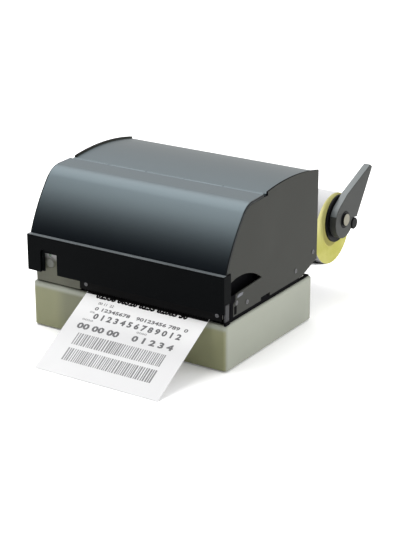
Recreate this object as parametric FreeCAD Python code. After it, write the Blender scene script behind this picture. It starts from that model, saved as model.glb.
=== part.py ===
"""Desk-top thermal transfer label printer with an open roll holder behind it.

Sizes are in millimetres. The model is laid out with y = 0 at the front face of the base,
x = 0 at the middle of the base and z = 0 at the table, and every piece is moved back by
origin_y when it is saved, so that the origin lies under the middle of the whole machine.
"""
import FreeCAD
import Part
import math
import os

V = FreeCAD.Vector

# Width of the machine: the label stock and the bays beside it
label_width = 148.0
left_bay = 72.0             # gears, motor and control panel
right_bay = 20.0

# Base
base_depth = 171.0
base_height = 48.5
base_wall = 2.5
base_corner_radius = 4.0
base_edge_chamfer = 1.6
foot_height = 2.0
foot_radius = 8.0
foot_inset = 20.0
base_gap = 1.5              # under the lower edge of the base
plate_thick = 1.5           # base plate and deck

# Hood, side plates and rear cover
rear_overhang = 10.0        # the housing ends behind the base
hood_top = 166.7
hood_thick = 2.5
hood_height = 63.5          # down to the lower edge of the curved front
hood_flat = 21.0            # straight stretch in front of the hinge
hood_tilt = 2.2             # slope of that stretch, degrees
bend_radius = 23.6
bend_turn = 47.7            # degrees
front_radius = 198.0
hinge_y = 73.0
hinge_radius = 3.0
hinge_pin_radius = 1.5
hinge_knuckles = 5
side_thick = 2.0
side_inset = 0.4            # side plates inside the width of the base
side_rise = 4.1             # of the side plates, from the top of the hood to their highest point
side_peak_y = 120.0
side_step_rise = 0.8        # just behind the hinge
side_rear_drop = 2.7        # at the rear
side_rear_low = 66.0
side_low = 55.5             # lower edge, above the base
side_slant = 31.0           # length of the rising part of the lower edge
side_notch_y = 66.0         # notch in the lower edge
side_notch_length = 18.0
side_notch_height = 3.6
side_proud = 2.2            # the side plates stand above the rear cover
cover_thick = 2.0
rear_thick = 2.0

# Front panel below the hood
fascia_low = 64.0
fascia_proud = 5.0
fascia_thick = 3.0
fascia_overlap = 1.0        # the fascia is wider than the base on each side
fascia_return = 13.0
notch_inset = 16.0          # from the left side of the base
notch_width = 21.0
notch_drop = 13.7           # below the foot of the hood

# Control panel at the left of the label slot
panel_inset = 4.5           # from the left side of the base
panel_width = 57.0
panel_front = 1.5
panel_depth = 10.0
panel_top = 67.0
tongue_inset = 12.0         # from the left side of the base
tongue_width = 22.0
tongue_drop = 3.5           # below the top of the notch
key_drop = 12.5             # below the top of the tongue
key_radius = 5.0
key_travel = 1.5
lamp_drop = 4.0

# Label stock and its path
label_thick = 0.25
label_drop = 30.0           # slope of the printed label, degrees
label_end_z = 0.4           # its free end, just above the table
entry_inset = 15.0          # where the stock passes under the rear panel
entry_z = 57.0

# Mechanism frames
path_margin = 6.0           # between label and frame
frame_thick = 2.0
frame_front = 5.2
frame_drop = 16.7           # below the top of the hood
deck_front = 4.0
deck_inset = 3.0            # at the rear
deck_flange = 20.5

# Platen and gears
platen_y = 26.0
platen_z = 58.2
platen_radius = 7.8
platen_shaft_radius = 4.0
bush_half = 5.2
gear_module = 0.75
gear_width = 6.0
platen_teeth = 19
low_teeth = 32
mid_teeth = 48
high_teeth = 40
takeup_teeth = 28
pinion_teeth = 12
low_angle = 30.0            # direction of each next gear, degrees above the level
mid_angle = 10.0
pinion_angle = 10.0
high_angle = 115.0
takeup_angle = 104.0
motor_side = 42.3
motor_length = 34.0
motor_shaft_radius = 2.5
stud_radius = 3.0

# Print head, its pivot and cam shaft
head_front = 20.0
head_depth = 26.0
head_plate = 3.0
heatsink_height = 8.0
bracket_thick = 2.0
pivot_y = 72.0
pivot_z = 96.0
pivot_radius = 3.0
boss_radius = 5.5
cam_y = 34.0
cam_shaft_radius = 3.0
cam_radius = 5.5
cam_offset = 4.0
lever_arm = 28.0
lever_lean = 120.0          # direction of the closed lever, degrees from the rear

# Ribbon
supply_y = 112.0
supply_drop = 20.0          # below the top of the frames
supply_radius = 24.0
takeup_roll_radius = 14.0
spindle_radius = 4.0
ribbon_core_radius = 12.0
ribbon_width = 152.0
film_thick = 0.2
bar_radius = 2.0

# Roll holder
spindle_reach = 70.5        # behind the housing
spindle_z = 88.5
roll_spindle_radius = 7.0
roll_radius = 40.0
core_bore_radius = 20.0
core_thick = 1.5
disc_radius = 26.5
disc_thick = 2.2
disc_gap = 4.6              # from the end of the roll to the disc
hub_radius = 21.0
blade_thick = 8.0
tip_reach = 61.8            # point of the blade, from the spindle
tip_rise = 45.0
tip_width = 6.3
blade_upper = 21.8          # slope of the upper edge of the blade, degrees
blade_upper_length = 56.3
blade_corner_reach = 28.5
blade_corner_drop = 4.5
knob_reach = 21.0
knob_drop = 10.0
knob_radius = 6.5
arm_thick = 3.0

# Rear sockets in the base
socket_z = 27.0
socket_inset = 48.0         # outer sockets, from the sides of the base
usb_x = 30.0
port_z = 18.0
board_thick = 1.6
board_edge = 12.0           # from the side of the base

# Small features
screw_radius = 1.5
bolt_radius = 2.0
rib_thick = 1.5
rib_depth = 4.0
rib_places = (-60.0, 60.0)
rear_fold = 12.0
panel_wall = 2.0
key_sink = 0.5              # the pressed key ends this far below the panel
lamp_radius = 1.8
tab_length = 7.5
tear_front = -1.6
tear_thick = 1.5
tear_low = 53.1
tear_top = 64.0
tear_screw_z = 60.6
tooth_depth = 1.6
tooth_pitch = 3.0
motor_boss = 11.0
fin_pitch = 8.0
lever_inset = 42.0          # from the left side of the base
lever_thick = 5.0
guide_thick = 1.5
sensor_offset = 4.0         # from the middle of the label
recess_drop = 27.2          # lower lip of the finger recess, below the foot of the hood
rocker_tip = 8.0

# Clearances
gap = 0.3                   # between pieces that pass each other
running = 0.05              # round a turning shaft

# Sizes that follow from the ones above
base_half = (left_bay + label_width + right_bay) / 2
label_centre = (left_bay - right_bay) / 2
housing_depth = base_depth + rear_overhang
side_half = base_half - side_inset                # outer face of a side plate
fascia_half = base_half + fascia_overlap
side_slant_y = housing_depth - side_slant
entry_y = housing_depth - entry_inset
deck_rear = base_depth - deck_inset
spindle_y = housing_depth + spindle_reach
tip_y, tip_z = spindle_y + tip_reach, spindle_z + tip_rise
blade_corner_y, blade_corner_z = spindle_y + blade_corner_reach, spindle_z - blade_corner_drop
knob_y, knob_z = spindle_y + knob_reach, spindle_z - knob_drop
inlet_x = socket_inset - base_half
serial_x = base_half - socket_inset
base_top = base_gap + base_height
deck_top = base_top + plate_thick
side_inner = side_half - side_thick
hinge_z = hood_top - hinge_radius
hood_foot = hood_top - hood_height
side_peak = hood_top + side_rise
side_step = hood_top + side_step_rise
side_rear_top = hood_top - side_rear_drop
notch_left = notch_inset - base_half
notch_right = notch_left + notch_width
notch_top = hood_foot - notch_drop
panel_left = panel_inset - base_half
panel_right = panel_left + panel_width
tongue_left = tongue_inset - base_half
tongue_right = tongue_left + tongue_width
tongue_top = notch_top - tongue_drop
key_z = tongue_top - key_drop
lamp_z = tongue_top - lamp_drop
frame_top = hood_top - frame_drop
supply_z = frame_top - supply_drop
lever_x = lever_inset - base_half
hinge_clear = hinge_radius + 0.4
cover_front = hinge_y + hinge_radius + 1.0
label_left = label_centre - label_width / 2
label_right = label_centre + label_width / 2
frame_left_x = label_left - path_margin          # inner face of the left frame
frame_right_x = label_right + path_margin
gear_x = frame_left_x - frame_thick - 2.0 - gear_width
motor_plate_x = gear_x - 4.0 - plate_thick
nip_z = platen_z + platen_radius
web_radius = platen_radius + gap
head_z = nip_z + gap + label_thick + film_thick + 2 * gap
heatsink_z = head_z + head_plate
bracket_z = heatsink_z + heatsink_height
cam_z = bracket_z + bracket_thick + gap + cam_radius + cam_offset
roll_z = spindle_z + roll_spindle_radius + gap - core_bore_radius
core_radius = core_bore_radius + core_thick
disc_x = label_right + disc_gap
blade_x = disc_x + disc_thick + gap
spindle_end = blade_x + blade_thick + 2.0
arm_x = label_left - 8.0
rocker_x = inlet_x + 15.0


def box(x0, x1, y0, y1, z0, z1):
    """Block between two corners."""
    return Part.makeBox(x1 - x0, y1 - y0, z1 - z0, V(x0, y0, z0))


def rod(x0, x1, y, z, radius):
    """Round bar along X."""
    return Part.makeCylinder(radius, x1 - x0, V(x0, y, z), V(1, 0, 0))


def tube(x0, x1, y, z, outer, inner):
    """Round tube along X."""
    return rod(x0, x1, y, z, outer).cut(rod(x0 - 1, x1 + 1, y, z, inner))


def stud(x, y0, y1, z, radius):
    """Round bar along Y."""
    return Part.makeCylinder(radius, y1 - y0, V(x, y0, z), V(0, 1, 0))


def bar(x0, x1, y, z, radius, sides):
    """Many sided bar along X."""
    return slab([step((y, z), 360.0 * i / sides, radius) for i in range(sides)], x0, x1)


def peg(x, y0, y1, z, radius, sides=8):
    """Many sided bar along Y, for fasteners."""
    ring = [step((x, z), 360.0 * i / sides, radius) for i in range(sides + 1)]
    return Part.Face(Part.makePolygon([V(a, y0, b) for a, b in ring])).extrude(V(0, y1 - y0, 0))


def line(p, q):
    """Straight edge in the plane x = 0 between two (y, z) points."""
    return Part.LineSegment(V(0, *p), V(0, *q)).toShape()


def arc(p, middle, q):
    """Round edge in the plane x = 0 through three (y, z) points."""
    return Part.Arc(V(0, *p), V(0, *middle), V(0, *q)).toShape()


def slab(outline, x0, x1):
    """Plate along X whose outline is a list of (y, z) points or of edges."""
    if not hasattr(outline[0], "Curve"):
        outline = [line(p, q) for p, q in zip(outline, outline[1:] + outline[:1])]
    wire = Part.Wire(Part.__sortEdges__(outline))
    return Part.Face(wire).extrude(V(x1 - x0, 0, 0)).translated(V(x0, 0, 0))


def union(shapes):
    """One solid from touching shapes."""
    first, rest = shapes[0], shapes[1:]
    return first.multiFuse(rest).removeSplitter() if rest else first


def polar(angle, radius):
    """Offset in (y, z) for a direction given in degrees above the level, to the rear."""
    return (radius * math.cos(math.radians(angle)), radius * math.sin(math.radians(angle)))


def step(point, angle, radius):
    """Point at a distance in a direction from another (y, z) point."""
    dy, dz = polar(angle, radius)
    return (point[0] + dy, point[1] + dz)


def tangent_point(outside, centre, radius, side):
    """Where a line from a point touches a circle; side is 1 or -1."""
    dy, dz = centre[0] - outside[0], centre[1] - outside[1]
    distance = math.hypot(dy, dz)
    angle = math.atan2(dz, dy) + side * math.asin(radius / distance)
    length = math.sqrt(distance ** 2 - radius ** 2)
    return (outside[0] + length * math.cos(angle), outside[1] + length * math.sin(angle))


def strip(points, thick, x0, x1):
    """Thin sheet that follows a line of (y, z) points, with its thickness on the left."""
    shifted = []
    for i, point in enumerate(points):
        before = points[max(i - 1, 0)]
        after = points[min(i + 1, len(points) - 1)]
        angle = math.degrees(math.atan2(after[1] - before[1], after[0] - before[0]))
        shifted.append(step(point, angle + 90.0, thick))
    return slab(points + shifted[::-1], x0, x1)


def hood_line(inset):
    """Edges of the hood's section, moved inward by inset, with their end points.

    The line starts at the hinge, runs level, bends down and ends in a long shallow
    curve at the height of the hood's foot.
    """
    heading = 180.0 + hood_tilt
    start = step((hinge_y - hinge_clear, hood_top), heading + 90.0, inset)
    flat_end = step(start, heading, hood_flat)
    edges = [line(start, flat_end)]
    radius = bend_radius - inset
    centre = step(flat_end, heading + 90.0, radius)
    middle = step(centre, heading - 90.0 + bend_turn / 2, radius)
    bend_end = step(centre, heading - 90.0 + bend_turn, radius)
    edges.append(arc(flat_end, middle, bend_end))
    heading += bend_turn
    radius = front_radius - inset
    centre = step(bend_end, heading + 90.0, radius)
    turn = 360.0 - math.degrees(math.acos((centre[1] - hood_foot) / radius)) - heading
    middle = step(centre, heading - 90.0 + turn / 2, radius)
    foot = step(centre, heading - 90.0 + turn, radius)
    edges.append(arc(bend_end, middle, foot))
    return edges, start, foot


hood_foot_y = hood_line(0.0)[2][0]
fascia_front = hood_foot_y - fascia_proud


def base_housing():
    """Painted base shell, open below, with windows for the sockets at the rear."""
    outer = box(-base_half, base_half, 0.0, base_depth, base_gap, base_top)
    upright = [e for e in outer.Edges if abs(e.Vertexes[0].Z - e.Vertexes[1].Z) > 1.0]
    outer = outer.makeFillet(base_corner_radius, upright)
    rim = [e for e in outer.Edges if e.BoundBox.ZMin > base_top - 0.01]
    outer = outer.makeChamfer(base_edge_chamfer, rim)
    wall = base_wall
    inner = box(-base_half + wall, base_half - wall, wall, base_depth - wall, 0.0, base_top - wall)
    shell = outer.cut(inner)
    bosses = [box(x - 4, x + 4, y - 4, y + 4, base_gap + 3.0, base_top - wall)
              for x, y in corner_spots(14.0)]
    shell = union([shell] + bosses)
    windows = [inlet_window(), usb_window(), serial_window(), cable_window()]
    return shell.cut(Part.makeCompound(windows))


def corner_spots(inset):
    """Four (x, y) places at an equal distance from the corners of the base."""
    return [(x, y) for x in (-base_half + inset, base_half - inset)
            for y in (inset, base_depth - inset)]


def cable_window():
    """Hole in the top of the base for the wires to the mechanism."""
    x0 = 2 * tongue_inset - base_half
    y0 = base_depth - 51.0
    return box(x0, x0 + 14.0, y0, y0 + 20.0, base_top - base_wall - 1.0, base_top + 1.0)


def base_plate():
    """Steel bottom cover with rows of air slots, held at its corners."""
    edge = base_wall + gap
    low = base_gap + 0.5
    plate = box(-base_half + edge, base_half - edge, edge, base_depth - edge, low, low + plate_thick)
    slots = [box(x, x + 24.0, y, y + 2.5, 0.0, low + 5.0)
             for x in (-78.0, -46.0) for y in [60.0 + 9.0 * i for i in range(4)]]
    return plate.cut(Part.makeCompound(slots))


def rubber_feet():
    """Four feet glued under the base plate."""
    feet = []
    for x, y in corner_spots(foot_inset):
        ring = [step((x, y), 22.5 * i, foot_radius) for i in range(17)]
        sole = Part.Face(Part.makePolygon([V(a, b, 0) for a, b in ring]))
        feet.append(sole.extrude(V(0, 0, foot_height)))
    return Part.makeCompound(feet)


def deck_plate():
    """Steel deck on the base with upturned sides that carry the side plates."""
    half = side_inner - gap / 3
    deck = box(-half, half, deck_front, deck_rear, base_top, deck_top)
    well = box(gear_x - 2.0, frame_right_x, platen_y - 11.0, platen_y + 13.0, base_top - 1, deck_top + 1)
    deck = deck.cut(well).cut(cable_window().translated(V(0, 0, 1.5)))
    top = deck_top + deck_flange
    sides = []
    for x in (-half, half - plate_thick):
        outline = [(deck_front, base_top), (deck_front, top), (side_slant_y - 8.0, top),
                   (side_slant_y - 2.0, base_top)]
        sides.append(slab(outline, x, x + plate_thick))
    return union([deck] + sides)


def side_plate():
    """Outline of a side plate with its stepped top, slanted rear foot and cut front corner."""
    inset = hood_thick + gap + 0.1
    edges, start, foot = hood_line(inset)
    front = foot[0] + 5.5
    step_y = cover_front + 0.2
    corners = [foot, (front, foot[1]), (front, side_low), (side_slant_y, side_low)]
    corners += [(housing_depth, side_rear_low), (housing_depth, side_rear_top)]
    outline = edges + [line(p, q) for p, q in zip(corners, corners[1:])]
    outline.append(arc(corners[-1], (side_peak_y, side_peak), (step_y, side_step)))
    outline += [line((step_y, side_step), (step_y, start[1])), line((step_y, start[1]), start)]
    return outline


def finger_recess(x0, x1):
    """Leaf shaped recess, open to the front, where a finger lifts the hood."""
    lip = hood_foot - recess_drop
    bend, tip = (27.0, lip + 2.5), (67.5, lip + 4.5)
    crown, shoulder = (41.0, lip + 17.2), (17.0, lip + 18.6)
    outline = [line((0.0, lip), bend), line(bend, tip), arc(tip, crown, shoulder),
               line(shoulder, (0.0, lip + 15.0)), line((0.0, lip + 15.0), (0.0, lip))]
    return slab(outline, x0, x1)


def side_notch(x0, x1):
    """Notch in the lower edge of a side plate."""
    return box(x0, x1, side_notch_y, side_notch_y + side_notch_length, side_low - 1,
               side_low + side_notch_height)


def left_side_plate():
    """Painted steel side plate."""
    plate = slab(side_plate(), -side_half, -side_inner)
    plate = plate.cut(side_notch(-side_half - 1, -side_inner + 1))
    return plate.cut(finger_recess(-side_half - 1, -side_inner + 1))


def right_side_plate():
    """Painted steel side plate on the side of the blade lever."""
    plate = slab(side_plate(), side_inner, side_half)
    plate = plate.cut(side_notch(side_inner - 1, side_half + 1))
    return plate.cut(finger_recess(side_inner - 1, side_half + 1))


def corner_post():
    """Bare metal strip in the cut front corner of the right side plate."""
    return box(side_inner, side_half, -1.0, 6.0, base_top, deck_top + deck_flange)


def knuckle_runs():
    """Stretches along X of the hinge knuckles, in turn on the cover and on the hood."""
    half = side_inner - gap
    length = 2 * half / hinge_knuckles
    starts = [-half + i * length for i in range(hinge_knuckles)]
    return [(x + gap / 2, x + length - gap / 2) for x in starts]


def hinge_pin():
    """Steel pin through all the knuckles."""
    half = side_inner - gap
    return rod(-half, half, hinge_y, hinge_z, hinge_pin_radius)


def hood():
    """Moulded lid: a bent shell with two knuckles along its rear edge and ribs inside."""
    outer, start, foot = hood_line(0.0)
    inner, inner_start, inner_foot = hood_line(hood_thick)
    ends = [line(start, inner_start), line(foot, inner_foot)]
    shell = slab(outer + inner + ends, -base_half, base_half)
    deep, deep_start, deep_foot = hood_line(hood_thick + rib_depth)
    rib = inner + deep + [line(inner_start, deep_start), line(inner_foot, deep_foot)]
    parts = [shell] + [slab(rib, x, x + rib_thick) for x in rib_places]
    bores = []
    for x0, x1 in knuckle_runs()[1::2]:
        parts.append(box(x0, x1, hinge_y - hinge_clear - gap, hinge_y, hood_top - hood_thick, hood_top))
        parts.append(bar(x0, x1, hinge_y, hinge_z, hinge_radius, 12))
        bores.append(rod(x0 - 1, x1 + 1, hinge_y, hinge_z, hinge_pin_radius + running))
    return union(parts).cut(Part.makeCompound(bores))


def rear_top_cover():
    """Arched steel cover between the side plates, with the fixed hinge knuckles."""
    half = side_inner - running
    high = [side_step - side_proud, side_peak - side_proud, side_rear_top - side_proud]
    places = [cover_front, side_peak_y, housing_depth]
    top = list(zip(places, high))
    under = [(y, z - cover_thick) for y, z in top]
    outline = [arc(*top), arc(*under), line(top[0], under[0]), line(top[2], under[2])]
    parts = [slab(outline, -half, half)]
    bores = []
    low = hinge_z - hinge_radius
    for x0, x1 in knuckle_runs()[0::2]:
        parts.append(box(x0, x1, hinge_y, cover_front + cover_thick, low, low + hood_thick))
        back = cover_front + cover_thick
        parts.append(box(x0, x1, cover_front, back, low, under[0][1] + cover_thick / 2))
        parts.append(bar(x0, x1, hinge_y, hinge_z, hinge_radius, 12))
        bores.append(bar(x0 - 1, x1 + 1, hinge_y, hinge_z, hinge_pin_radius + gap / 2, 12))
    return union(parts).cut(Part.makeCompound(bores))


def rear_panel():
    """Steel rear wall with folded sides and two columns of air slots."""
    half = side_inner - running
    front = housing_depth - rear_thick
    top = side_rear_top - side_proud - cover_thick
    low = side_rear_low + gap
    parts = [box(-half, half, front, housing_depth, low, top)]
    for x in (-half, half - rear_thick):
        parts.append(box(x, x + rear_thick, front - rear_fold, front, low, top - rear_fold))
    slots = [box(x, x + 38.0, front - 1, housing_depth + 1, z, z + 3.0)
             for x in (14.0, 62.0) for z in [88.0 + 8.0 * i for i in range(6)]]
    bolts = [peg(x, front - 1, housing_depth + 1, z, bolt_radius) for x, z in bracket_bolt_spots()]
    return union(parts).cut(Part.makeCompound(slots)).cut(Part.makeCompound(bolts))


def bracket_bolt_spots():
    """(x, z) places of the bolts that hold the roll bracket to the rear panel."""
    return [(arm_x + dx, spindle_z + dz) for dx in (8.0, 20.0) for dz in (-8.0, 31.5)]


def soft_window(x0, x1, y0, y1, z0, z1, radius):
    """Block whose two upper edges along Y are rounded."""
    block = box(x0, x1, y0, y1, z0, z1)
    upper = [e for e in block.Edges
             if e.BoundBox.ZMin > z1 - 0.01 and e.BoundBox.YLength > y1 - y0 - 0.01]
    return block.makeFillet(radius, upper)


def fascia():
    """Black front panel below the hood, with a ledge, wrapped ends and a notch for the tongue."""
    front, back = fascia_front, fascia_front + fascia_thick
    inner = hood_foot_y + 2.0
    low = hood_foot - fascia_thick
    outline = [(front, fascia_low), (front, hood_foot - 1.0), (front + 1.0, hood_foot),
               (inner, hood_foot), (inner, low), (back, low), (back, fascia_low)]
    parts = [slab(outline, -fascia_half, fascia_half)]
    wrap = fascia_half - side_half - gap
    for x in (-fascia_half, fascia_half - wrap):
        parts.append(box(x, x + wrap, front, front + fascia_return,
                         deck_top + deck_flange + 1.5, hood_foot))
    notch = soft_window(notch_left, notch_right, front - 1, back + 1, fascia_low - 1, notch_top, 4.0)
    return union(parts).cut(notch)


def control_panel():
    """Moulded panel beside the label slot; its tongue shows through the notch above."""
    front, back = panel_front, panel_front + panel_wall
    rear = panel_front + panel_depth
    block = box(panel_left, panel_right, front, rear, deck_top, panel_top)
    wall = panel_wall
    hollow = box(panel_left + wall, panel_right - wall, back, rear + 1,
                 deck_top + wall, panel_top - wall)
    tongue = soft_window(tongue_left, tongue_right, front, back, panel_top - 1, tongue_top, 4.0)
    panel = union([block.cut(hollow), tongue])
    x = (tongue_left + tongue_right) / 2
    panel = panel.cut(stud(x, front - 1, back + 1, key_z, key_radius + gap))
    return panel.cut(peg(x, front - 1, back + 1, lamp_z, lamp_radius, 12))


def feed_button():
    """Round key with a collar behind the panel."""
    x = (tongue_left + tongue_right) / 2
    back = panel_front + panel_wall
    key = stud(x, panel_front + key_sink - key_travel, back + gap, key_z, key_radius)
    return key.fuse(peg(x, back + gap / 2, back + 1.2, key_z, key_radius + 1.4, 12)).removeSplitter()


def status_light():
    """Clear lamp window above the key."""
    x = (tongue_left + tongue_right) / 2
    return peg(x, panel_front - 0.3, panel_front + panel_wall + 0.5, lamp_z, lamp_radius, 12)


def tear_bar():
    """Toothed steel bar across the label slot, screwed to the frames."""
    left, right = frame_left_x - frame_thick - 1.0, frame_right_x + frame_thick + tab_length
    points = [(right, tear_low + tooth_depth), (right, tear_top), (left, tear_top),
              (left, tear_low + tooth_depth)]
    count = int(round((label_width + 8.0) / tooth_pitch))
    first = label_centre - count * tooth_pitch / 2
    for i in range(count):
        x = first + i * tooth_pitch
        points += [(x, tear_low + tooth_depth), (x + tooth_pitch / 2, tear_low)]
    points.append((first + count * tooth_pitch, tear_low + tooth_depth))
    corners = [V(x, tear_front, z) for x, z in points + points[:1]]
    plate = Part.Face(Part.makePolygon(corners)).extrude(V(0, tear_thick, 0))
    holes = [peg(x, tear_front - 1, frame_front + 1, tear_screw_z, screw_radius)
             for x in tear_screw_places()]
    return plate.cut(Part.makeCompound(holes))


def tear_screw_places():
    """X of the two screws of the tear bar."""
    return (frame_left_x + tab_length - 2.0, frame_right_x + frame_thick + tab_length - 5.0)


def machine_screws():
    """Bright screws of the tear bar and bolts of the roll bracket."""
    screws = []
    for x in tear_screw_places():
        head = peg(x, tear_front - 1.2, tear_front, tear_screw_z, 2.6, 12)
        shank = peg(x, tear_front, frame_front + 1.0, tear_screw_z, screw_radius)
        screws.append(head.fuse(shank).removeSplitter())
    seat = housing_depth + arm_thick
    for x, z in bracket_bolt_spots():
        shank = peg(x, housing_depth - rear_thick, seat, z, bolt_radius)
        screws.append(union([peg(x, seat, seat + 2.2, z, 3.8, 6), shank]))
    return Part.makeCompound(screws)


def pitch_radius(teeth):
    """Pitch circle of a gear."""
    return gear_module * teeth / 2


def gear_places():
    """Centre and tooth phase of every gear, worked out along the train from the platen."""
    train = [("low", "platen", low_teeth, low_angle), ("mid", "low", mid_teeth, mid_angle),
             ("pinion", "mid", pinion_teeth, pinion_angle), ("high", "mid", high_teeth, high_angle),
             ("takeup", "high", takeup_teeth, takeup_angle)]
    places = {"platen": ((platen_y, platen_z), 0.0, platen_teeth)}
    for name, driver, teeth, angle in train:
        centre, phase, driver_teeth = places[driver]
        reach = pitch_radius(teeth) + pitch_radius(driver_teeth)
        offset = (phase - angle) % (360.0 / driver_teeth)
        turned = angle + 180.0 - offset * driver_teeth / teeth + 180.0 / teeth
        places[name] = (step(centre, angle, reach), turned, teeth)
    return places


def gear(name, bore):
    """Spur gear with straight flanks, on its place in the train."""
    (y, z), phase, teeth = gear_places()[name]
    root = pitch_radius(teeth) - 1.2 * gear_module
    tip = pitch_radius(teeth) + 0.9 * gear_module
    pitch = 360.0 / teeth
    points = []
    for i in range(teeth):
        for radius, share in ((root, -0.36), (tip, -0.12), (tip, 0.12), (root, 0.36)):
            points.append(step((y, z), phase + (i + share) * pitch, radius))
    wheel = slab(points, gear_x, gear_x + gear_width)
    return wheel.cut(rod(gear_x - 1, gear_x + gear_width + 1, y, z, bore)) if bore else wheel


def frame_outline():
    """(y, z) corners shared by both mechanism frames."""
    low = deck_top + 0.4
    rear = entry_y - 4.0
    return [(frame_front, low), (frame_front, 80.0), (15.0, 106.0), (26.0, 128.0),
            (42.0, frame_top - 3.0), (56.0, frame_top), (rear - 12.0, frame_top),
            (rear, frame_top - 12.0), (rear, deck_top),
            (platen_y + 16.0, deck_top), (platen_y + 15.0, low)]


def frame(x0, tab_x0, foot_x0):
    """Mechanism frame with its front tab, foot and bearing holes."""
    x1 = x0 + frame_thick
    rear = entry_y - 4.0
    parts = [slab(frame_outline(), x0, x1)]
    parts.append(box(min(x0, tab_x0), max(x1, tab_x0 + tab_length), tear_front + tear_thick, frame_front,
                     tear_low + 3.5, tear_top))
    parts.append(box(foot_x0, foot_x0 + tab_length, platen_y + 18.0, rear - 2.0,
                     deck_top, deck_top + plate_thick))
    plate = union(parts)
    places = gear_places()
    half = bush_half
    cuts = [box(x0 - 1, x1 + 1, platen_y - half, platen_y + half, platen_z - half, platen_z + half)]
    cuts.append(rod(x0 - 1, x1 + 1, cam_y, cam_z, cam_shaft_radius + running))
    for y, z in (places["takeup"][0], (supply_y, supply_z)):
        radius = spindle_radius + running
        cuts.append(rod(x0 - 1, x1 + 1, y, z, radius))
        cuts.append(box(x0 - 1, x1 + 1, y - radius, y + radius, z, frame_top + 1))
    tapped = [peg(x, tear_front, frame_front + 1, tear_screw_z, screw_radius)
              for x in tear_screw_places()]
    return plate.cut(Part.makeCompound(cuts)).cut(Part.makeCompound(tapped))


def frame_left():
    """Left frame, with the studs of the idler gears and the spacers of the motor plate."""
    plate = frame(frame_left_x - frame_thick, frame_left_x, frame_left_x - frame_thick - tab_length)
    outside = frame_left_x - frame_thick
    places = gear_places()
    studs = []
    for name in ("low", "mid", "high"):
        studs.append(bar(gear_x - gap, outside, *places[name][0], stud_radius, 16))
        studs.append(bar(gear_x - gap - 1.0, gear_x - gap, *places[name][0], stud_radius + 1.5, 6))
    spacers = [bar(motor_plate_x + plate_thick, outside, y, z, stud_radius, 6)
               for y, z in spacer_spots()]
    return union([plate] + studs + spacers)


def frame_right():
    """Right frame, whose edge shows beside the label slot."""
    outside = frame_right_x + frame_thick
    return frame(frame_right_x, outside, outside)


def spacer_spots():
    """(y, z) places of the four spacers, clear of the gears."""
    y, z = gear_places()["pinion"][0]
    return [(y + 17.5, z - 20.0), (y + 17.5, z + 22.5), (y - 5.0, z + 24.0), (y - 1.5, z - 20.5)]


def motor_plate():
    """Plate that carries the motor beside the gears."""
    y, z = gear_places()["pinion"][0]
    plate = box(motor_plate_x, motor_plate_x + plate_thick, y - 22.0, y + 22.0, z - 24.0, z + 28.0)
    return plate.cut(bar(motor_plate_x - 1, motor_plate_x + plate_thick + 1, y, z, motor_boss, 16))


def stepper_motor():
    """Square stepper motor with cut corners and a boss that centres it in its plate."""
    y, z = gear_places()["pinion"][0]
    half, cut = motor_side / 2, 4.0
    corners = [(-half, -half + cut), (-half, half - cut), (-half + cut, half), (half - cut, half),
               (half, half - cut), (half, -half + cut), (half - cut, -half), (-half + cut, -half)]
    body = slab([(y + a, z + b) for a, b in corners], motor_plate_x - motor_length, motor_plate_x)
    return union([body, bar(motor_plate_x, motor_plate_x + plate_thick, y, z, motor_boss, 16)])


def motor_pinion():
    """Small gear and the end of the motor shaft that it is pressed on, in one piece."""
    y, z = gear_places()["pinion"][0]
    shaft = rod(motor_plate_x + plate_thick + running, gear_x, y, z, motor_shaft_radius)
    return union([gear("pinion", 0.0), shaft])


def platen_shaft():
    """Ground steel shaft of the platen, which carries its gear at the left."""
    return rod(gear_x - 1.0, frame_right_x + frame_thick + 3.0, platen_y, platen_z, platen_shaft_radius)


def platen_rubber():
    """Rubber sleeve that pulls the label stock through."""
    return tube(label_left - 3.0, label_right + 3.0, platen_y, platen_z,
                platen_radius, platen_shaft_radius)


def platen_bearings():
    """Square bushes pressed into the two frames."""
    half = bush_half
    bushes = []
    for x0 in (frame_left_x - frame_thick, frame_right_x):
        block = box(x0, x0 + frame_thick, platen_y - half, platen_y + half,
                    platen_z - half, platen_z + half)
        bushes.append(block.cut(rod(x0 - 1, x0 + 3, platen_y, platen_z, platen_shaft_radius + running)))
    return Part.makeCompound(bushes)


def platen_gear():
    return gear("platen", platen_shaft_radius)


def idler_gear_low():
    return gear("low", stud_radius + running)


def idler_gear_mid():
    return gear("mid", stud_radius + running)


def idler_gear_high():
    return gear("high", stud_radius + running)


def takeup_gear():
    return gear("takeup", spindle_radius)


def head_span():
    """Left and right end of the print head."""
    half = ribbon_width / 2
    return label_centre - half, label_centre + half


def print_head():
    """Head plate with its heater edge thinned towards the front."""
    left, right = head_span()
    rear = head_front + head_depth
    outline = [(head_front, head_z + 1.5), (head_front + 3.0, head_z), (rear, head_z),
               (rear, head_z + head_plate), (head_front, head_z + head_plate)]
    return slab(outline, left, right)


def head_heatsink():
    """Finned aluminium block on the head."""
    left, right = head_span()
    y0, y1 = head_front + 3.0, head_front + head_depth
    parts = [box(left + 2.0, right - 2.0, y0, y1, heatsink_z, heatsink_z + 2.0)]
    count = int((right - left - 6.0) // fin_pitch)
    first = (left + right) / 2 - count * fin_pitch / 2
    for i in range(count + 1):
        x = first + i * fin_pitch
        parts.append(box(x - 0.8, x + 0.8, y0, y1, heatsink_z + 1.0, bracket_z))
    return union(parts)


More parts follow.
